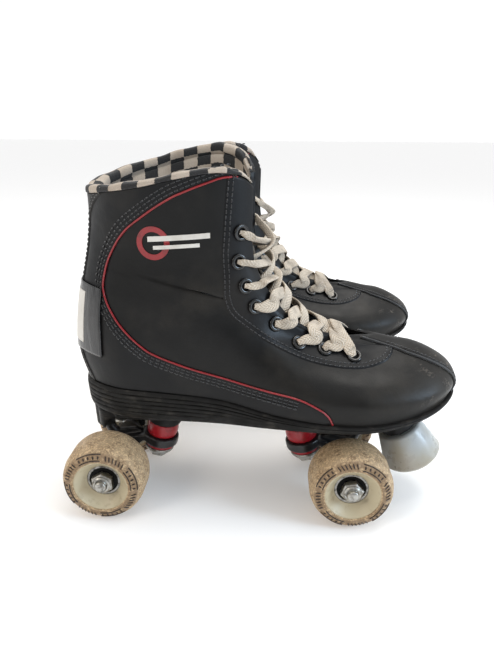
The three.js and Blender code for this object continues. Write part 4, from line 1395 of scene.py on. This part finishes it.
def hanger():
    """The cast hanger as overlapping closed solids, which a remesh melts into one casting."""
    across = (HALF_WHEELBASE, 0, WHEEL_RADIUS)
    bars = []
    for radius, start, end, soft in ((8, -20.5, 20.5, 1.2), (9, -20.6, -17.4, 0.8), (9, 17.4, 20.6, 0.8),
                                     (6.2, -29.5, 29.5, 0.6)):
        outline = rounded([(0, start), (radius, start), (radius, end), (0, end)], soft)
        bars.append(lathe(outline, 40).moved(*across))
    ring = on_kingpin(lathe(rounded([(6.6, -RING_HALF), (RING_RADIUS, -RING_HALF), (RING_RADIUS, RING_HALF),
                                     (6.6, RING_HALF)], 0.8, closed=True), 48))
    web = slab([(61, 34.8), (61, 38), (78, 34.8), (86, 28), (78, 19.5), (70, 22), (66, 31)], 7.6)
    rib = slab([(60, 36.6), (70, 40.4), (84, 38.4), (86, 30), (70, 28)], 2)
    reach = math.hypot(PIVOT_X - HALF_WHEELBASE, PIVOT_Z - WHEEL_RADIUS)
    lean = math.atan2(PIVOT_X - HALF_WHEELBASE, PIVOT_Z - WHEEL_RADIUS)
    pin = upright(lathe([(0, 0), (5, 0), (3.7, reach * 0.75), (3.2, reach), (0, reach)], 24))
    pin = pin.turned("Y", lean).moved(*across)
    angle = np.linspace(-math.pi / 2, math.pi / 2, 12)
    arc = [(PIVOT_BALL * math.cos(a), PIVOT_BALL * math.sin(a)) for a in angle[1:-1]]
    ball = lathe([(0, -PIVOT_BALL), *arc, (0, PIVOT_BALL)], 24).moved(PIVOT_X, 0, PIVOT_Z)
    return joined([*bars, ring, web, rib, pin, ball])


def kingpin_cup():
    return on_kingpin(lathe(rounded([(4.6, -9.3), (9.5, -9.3), (9.8, -6.2), (10.5, -6.2), (10.4, -8),
                                     (8.2, -10.8), (4.6, -10.8)], 0.5, closed=True), 48))


def kingpin_bolt():
    """The king bolt with its threaded tip, and the hexagonal nut below the cup."""
    tip, top, nut_low, nut_high = -15, KINGPIN_TOP, -14, -10.8
    profile = [(0, tip), (3.2, tip), (4, tip + 0.7)]
    y = tip + 0.7
    while y + 1.2 < nut_low + 2:
        profile += [(3.6, y + 0.4), (4, y + 0.9)]
        y += 1.2
    profile += [(4, nut_high), (4.6, nut_high), (4.6, top), (0, top)]
    bolt = lathe(profile, 28)
    nut = lathe([(3.9, nut_low), (6.1, nut_low), (6.95, nut_low + 0.7), (6.95, nut_high - 0.6),
                 (6.3, nut_high), (3.9, nut_high)], 6)
    return on_kingpin(joined([bolt, nut]))


def cushion(bore, outline):
    """A urethane ring with soft corners, from (radius, height) points up its outside."""
    low, high = outline[0][1], outline[-1][1]
    return on_kingpin(lathe(rounded([(bore, low), *outline, (bore, high)], 1.1, closed=True), 48))


def upper_cushion():
    low, high = RING_HALF + 0.35, RING_HALF + 0.3 + CUSHION_HEIGHT
    return cushion(5.6, [(10.3, low), (11.15, low + 3.5), (11.15, high - 4), (10.5, high)])


def lower_cushion():
    return cushion(5.6, [(8.8, -9), (9.0, -6.6), (10.5, -5.7), (10.5, -RING_HALF - 0.35)])


# ---------------------------------------------------------------- plate and toe stop


def on_stop_axis(shape):
    return upright(shape).turned("Y", -STOP_TILT).moved(STOP_X, 0, STOP_Z)


def toe_stop():
    profile = [(0, 0.4), (6, 0), (18.2, 0), (20.7, 2.8), (15.4, STOP_LENGTH - 1.2), (14, STOP_LENGTH - 0.1),
               (0, STOP_LENGTH - 0.1)]
    return on_stop_axis(lathe(rounded(profile, 1.0, 5), 72))


def under_sole(stations):
    """Points of a side view just below the sole's underside."""
    return [(x, float(curve_at(SOLE_UNDERSIDE, x)) - 1) for x in stations]


def heel_block():
    """The part of the plate that reaches down behind the rear wheels, round the heel's curve."""
    front, low, top = -84, 49.5, float(curve_at(SOLE_UNDERSIDE, -90)) - 1
    outline = [(-93.5, top), (-93.2, 51), (-92, low), (-88.2, low), (-86.4, 54.5), (-82, 56.6), (-78, 57),
               (-78, top)]
    turns = np.linspace(-math.pi / 2, math.pi / 2, 25)
    rings = []
    for turn in turns:
        drawn_in = math.cos(turn) ** 0.8
        rings.append([(front + (x - front) * (drawn_in if x < front else 1), 19 * math.sin(turn), z)
                      for x, z in outline])
    faces = grid_faces(len(turns), len(outline), close_columns=True)
    last = (len(turns) - 1) * len(outline)
    faces.append(tuple(range(len(outline)))[::-1])
    faces.append(tuple(range(last, last + len(outline))))
    return outward(Shape(rings, faces))


def base_plate():
    """The moulded plate as overlapping closed solids: spine, wings, ribs, bosses and the stop's socket."""
    spine = [*under_sole([117, 90, 60, 30, 0, -35, -82]), (-82, 56.4), (-77, 58.5), (-30, 58.5),
             (30, 60), (66, 57.5), (100, 59), (117, 65)]
    wings = [*under_sole([110, 90, 60, 30, 0, -35, -60, -77]), (-77, 58.8), (-60, 58.8), (60, 60),
             (100, 62), (110, 66)]
    shapes = [slab(spine, 19), slab(wings, 23), heel_block()]
    for y in (-17.5, 17.5):
        shapes.append(slab([(-60, 60), (40, 60), (36, 57.2), (-56, 56.4)], 1.4).moved(y=y))
    for x in (-45, -20, 5, 28):
        shapes.append(slab([(x - 1.3, 60), (x + 1.3, 60), (x + 1.3, 57.4), (x - 1.3, 57.4)], 17))
    seat, top = RING_HALF + CUSHION_HEIGHT + 0.6, KINGPIN_TOP + 3
    boss = [(0, seat), (11.6, seat), (12.4, seat + 1.6), (12.6, top), (0, top)]
    pivot = [(0, 43.9), (6.2, 43.6), (7.3, 45), (7.9, 60), (0, 60)]
    for turned in (at_front, at_rear):
        shapes.append(turned(on_kingpin(lathe(rounded(boss, 0.5), 40))))
        shapes.append(turned(upright(lathe(rounded(pivot, 0.5), 36)).moved(PIVOT_X)))
    low, high = STOP_LENGTH + 0.3, STOP_LENGTH + 16
    socket = [(0, low), (12.4, low), (12.4, high), (0, high)]
    shapes.append(on_stop_axis(lathe(socket, 40)))
    return joined(shapes)


BOLT_PLACES = [(-74, -19.5), (-74, 19.5), (22, 0), (82, -14), (82, 14)]


def plate_bolts():
    """Domed heads of the bolts that hold the plate to the sole, on its underside."""
    head = upright(lathe([(0, -2.2), (2.2, -1.9), (3.8, -0.6), (4, 0.6), (0, 0.6)], 24))
    return joined([head.moved(x, y, 57.4 if abs(x) > 30 else 59.2) for x, y in BOLT_PLACES])


# ---------------------------------------------------------------- assembly


def melted(voxel_size, smoothings):
    """Modifiers that melt overlapping solids into one and soften it."""
    return [("REMESH", {"mode": "VOXEL", "voxel_size": voxel_size * MM}),
            ("SMOOTH", {"factor": 0.5, "iterations": smoothings})]


CAST = melted(0.75, 3)
MOULDED = melted(0.9, 2)
LEATHER = [("SOLIDIFY", {"thickness": UPPER_THICKNESS * MM, "offset": -1})]

BOOT_SHAPES = {
    "upper": upper_shell(),
    "panels": joined([panel(side) for side in BOTH_SIDES for panel in (stay_panel, heel_panel)]),
    "straps": joined([strap(side) for side in BOTH_SIDES for strap in (back_strap, toe_strip)]),
    "piping": joined([piping(side) for side in BOTH_SIDES]),
    "toe_beads": joined([piping(side, TOE_STRIP, 0.8, 0.9 * OVERLAY) for side in BOTH_SIDES]),
    "stitches": joined([stitching(side) for side in BOTH_SIDES]),
    "red_stitches": joined([red_stitch_row(side) for side in BOTH_SIDES]),
    "eyelets": joined([eyelet(side, place) for side in BOTH_SIDES for place in EYELETS]),
    "holes": joined([eyelet_hole(side, place) for side in BOTH_SIDES for place in EYELETS]),
    "laces": laces(),
    "lining": collar_lining(),
    "tongue_front": tongue_layer(7.6, 9.3),
    "tongue_back": with_even_pattern(tongue_layer(9.3, 11.1)),
    "insole": insole(),
    "outsole": outsole(),
    "ring_mark": ring_mark(-1, 6.6, 9.8),
    "bar_marks": bar_marks(-1),
    "plate": base_plate(),
    "bolts": plate_bolts(),
    "stop": toe_stop(),
}
TRUCK_SHAPES = {
    "hanger": hanger(),
    "cup": kingpin_cup(),
    "bolt": kingpin_bolt(),
    "upper_cushion": upper_cushion(),
    "lower_cushion": lower_cushion(),
}
WHEEL_SHAPES = {
    "tyre": wheel_tyre(),
    "core": wheel_core(),
    "marks": wheel_marks(),
    "bearings": bearing_pair(),
    "shields": bearing_shields(),
}
AXLE_SHAPE = threaded_axle()
NUT_SHAPE = joined([washer().moved(y=BEARING_REACH), lock_nut().moved(y=BEARING_REACH + 0.3)])


def add_boot(prefix, hand):
    body = f"{prefix}_boot_and_plate"

    def add(name, shape, look, replaces=(), slot=None, **more):
        nodes = [f"{prefix}_{node}" for node in replaces]
        return add_piece(f"{prefix}_{name}", BOOT_SHAPES[shape], LOOKS[look], hand, body, nodes, slot, **more)

    add("leather_upper", "upper", "vinyl", ["boot_upper"], "black_vinyl", modifiers=LEATHER, sharp_angle=50)
    # Stay and heel panels in black vinyl with a painted blue sheen.
    add("sewn_panels", "panels", "panel", slot="black_vinyl")
    add("back_and_toe_straps", "straps", "vinyl", slot="black_vinyl")
    add("red_piping", "piping", "piping")
    add("toe_strip_beads", "toe_beads", "thread")
    add("stitching", "stitches", "thread")
    add("red_stitches", "red_stitches", "piping")
    add("eyelets", "eyelets", "eyelet")
    add("eyelet_hole_painted_shade", "holes", "dark")
    add("woven_laces", "laces", "lace", ["lace"], "lace_cotton")
    lining = add("padded_lining", "lining", "check", ["collar_lining"], "check_lining")
    front = add("tongue_front", "tongue_front", "tongue", ["tongue"], "tongue_fabric")
    # The eyelets' dark discs: painted shade of the holes.
    back = add("tongue_backing", "tongue_back", "check", slot="check_lining")
    add("foot_bed", "insole", "insole", ["insole"], "insole_fabric", sharp_angle=40)
    add("rubber_sole", "outsole", "sole", ["outsole"], "sole_rubber", sharp_angle=55)
    add("ring_mark", "ring_mark", "red_mark", sharp_angle=30)
    add("bar_marks", "bar_marks", "white_mark", sharp_angle=30)
    add("moulded_plate", "plate", "nylon", ["base_plate"], "plate_nylon", modifiers=MOULDED)
    add("plate_bolts", "bolts", "zinc", slot="zinc_steel")
    add("stopper", "stop", "stop", ["toe_stop"], "stop_rubber")


def add_truck(prefix, hand, end):
    body = f"{prefix}_boot_and_plate"
    truck = f"{prefix}_{end}_truck"
    turned = at_rear if end == "rear" else at_front
    name = f"{prefix}_{end}"

    def add(piece, shape, look, parent, node=None, slot=None, **more):
        nodes = [f"{name}_{node}"] if node else []
        return add_piece(f"{name}_{piece}", turned(shape), LOOKS[look], hand, parent, nodes, slot, **more)

    add("cast_hanger", TRUCK_SHAPES["hanger"], "paint", truck, "hanger", "hanger_paint", modifiers=CAST)
    add("cushion_cup", TRUCK_SHAPES["cup"], "zinc", body, "kingpin", "zinc_steel", sharp_angle=40)
    add("king_bolt", TRUCK_SHAPES["bolt"], "zinc", body, slot="zinc_steel", sharp_angle=30)
    axle = AXLE_SHAPE.moved(HALF_WHEELBASE, 0, WHEEL_RADIUS)
    add("threaded_axle", axle, "zinc", truck, "axle", "zinc_steel", sharp_angle=50)
    heights = {"upper_cushion": (RING_HALF + CUSHION_HEIGHT, RING_HALF + 0.35),
               "lower_cushion": (-9, -RING_HALF - 0.35)}
    for cushion_name, (fixed, moving) in heights.items():
        shape = turned(TRUCK_SHAPES[cushion_name])
        piece = mesh_object(f"{name}_{cushion_name}_ring", shape, LOOKS["cushion"], hand)
        ends = [turned(on_kingpin(Shape([(0, height, 0)], []))).points[0] for height in (fixed, moving)]
        start, finish = (tuple(place(point, hand)) for point in ends)
        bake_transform(piece)
        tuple(start)
        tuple(finish)
        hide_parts(f"{name}_{cushion_name}")


def add_wheel(prefix, hand, end, where, turn):
    """One wheel with its bearings and nut; turn is how far round it stopped."""
    x = HALF_WHEELBASE if end == "front" else -HALF_WHEELBASE
    across = -1 if where == "outer" else 1
    body = f"{prefix}_{end}_{where}_wheel"
    name = f"{prefix}_{end}_{where}"

    def add(piece, shape, look, parent, node=None, slot=None, **more):
        seated_shape = shape.turned("Y", turn).moved(x, across * HALF_TRACK, WHEEL_RADIUS)
        nodes = [f"{name}_{node}"] if node else []
        return add_piece(f"{name}_{piece}", seated_shape, LOOKS[look], hand, parent, nodes, slot, **more)

    add("urethane_tyre", WHEEL_SHAPES["tyre"], "urethane", body, "wheel", "wheel_urethane", sharp_angle=60)
    add("wheel_core", WHEEL_SHAPES["core"], "core", body, slot="wheel_urethane", sharp_angle=40)
    add("wheel_marks", WHEEL_SHAPES["marks"], "ink", body, slot="wheel_urethane")
    bearings = WHEEL_SHAPES["bearings"]
    add("ball_bearings", bearings, "bearing", body, "bearings", "bearing_steel", sharp_angle=35)
    add("bearing_seals", WHEEL_SHAPES["shields"], "dark", body, slot="bearing_steel", sharp_angle=35)
    nut = NUT_SHAPE if across > 0 else NUT_SHAPE.turned("Z", math.pi)
    add("lock_nut", nut, "zinc", f"{prefix}_{end}_truck", "nut", "zinc_steel", sharp_angle=30)


WHEEL_TURNS = {"front_outer": 0.5, "front_inner": 2.1, "rear_outer": 1.2, "rear_inner": 4.0}

for prefix, hand in (("right", -1), ("left", 1)):
    add_boot(prefix, hand)
    for end in ("front", "rear"):
        add_truck(prefix, hand, end)
        for where in ("outer", "inner"):
            add_wheel(prefix, hand, end, where, WHEEL_TURNS[f"{end}_{where}"] + 0.7 * hand)

add_piece("right_clear_tape", skin_patch(-1, (0.0, 1.8), (1.2, 4.3), 2.05), LOOKS["tape"], -1,
          "right_boot_and_plate", slot="black_vinyl")
add_piece("right_blank_label", skin_patch(-1, (0.1, 1.2), (1.5, 3.8), 2.25), LOOKS["label"], -1,
          "right_boot_and_plate")

# ---------------------------------------------------------------- floor and light


def add_floor():
    mesh = bpy.data.meshes.new("studio_floor")
    reach = 30.0
    mesh.from_pydata([(-reach, -reach, 0), (reach, -reach, 0), (reach, reach, 0), (-reach, reach, 0)], [],
                     [(0, 1, 2, 3)])
    floor = bpy.data.objects.new("studio_floor", mesh)
    look = Look("studio_floor", 0.9, Emission_Color=(1, 1, 1, 1), Emission_Strength=0.16)
    mesh.materials.append(look.done((0.86, 0.86, 0.86)))
    bpy.context.collection.objects.link(floor)


def add_light(name, location, target, size, power, color):
    data = bpy.data.lights.new(name, "AREA")
    data.shape = "RECTANGLE"
    data.size, data.size_y = size
    data.energy = power
    data.color = color
    light = bpy.data.objects.new(name, data)
    light.location = location
    light.rotation_euler = (Vector(target) - Vector(location)).to_track_quat("-Z", "Y").to_euler()
    bpy.context.collection.objects.link(light)


def add_world():
    """A white room, darker on the side that the outer side of the right skate faces."""
    world = bpy.data.worlds.new("studio")
    world.use_nodes = True
    tree = world.node_tree
    place_in_room = tree.nodes.new("ShaderNodeTexCoord").outputs["Generated"]
    apart = tree.nodes.new("ShaderNodeSeparateXYZ")
    tree.links.new(place_in_room, apart.inputs["Vector"])
    fade = tree.nodes.new("ShaderNodeMapRange")
    fade.interpolation_type = "SMOOTHSTEP"
    fade.inputs["From Min"].default_value = -0.95
    fade.inputs["From Max"].default_value = 0.0
    fade.inputs["To Min"].default_value = 0.36
    fade.inputs["To Max"].default_value = 1.02
    tree.links.new(apart.outputs["Y"], fade.inputs["Value"])
    tree.nodes["Background"].inputs["Color"].default_value = (1, 1, 1, 1)
    tree.links.new(fade.outputs["Result"], tree.nodes["Background"].inputs["Strength"])
    bpy.context.scene.world = world


add_floor()
add_world()
add_light("top_window", (0.25, 0.2, 1.3), (0, 0, 0.1), (0.9, 0.7), 10, (1.0, 0.97, 0.92))
add_light("cool_front", (1.1, -0.45, 0.55), (0.03, -0.05, 0.15), (0.35, 0.6), 9, (0.62, 0.80, 1.0))
add_light("warm_left", (-0.9, -0.9, 0.9), (0, 0, 0.1), (0.5, 0.5), 5, (1.0, 0.92, 0.82))
bpy.context.scene.view_settings.view_transform = "Standard"
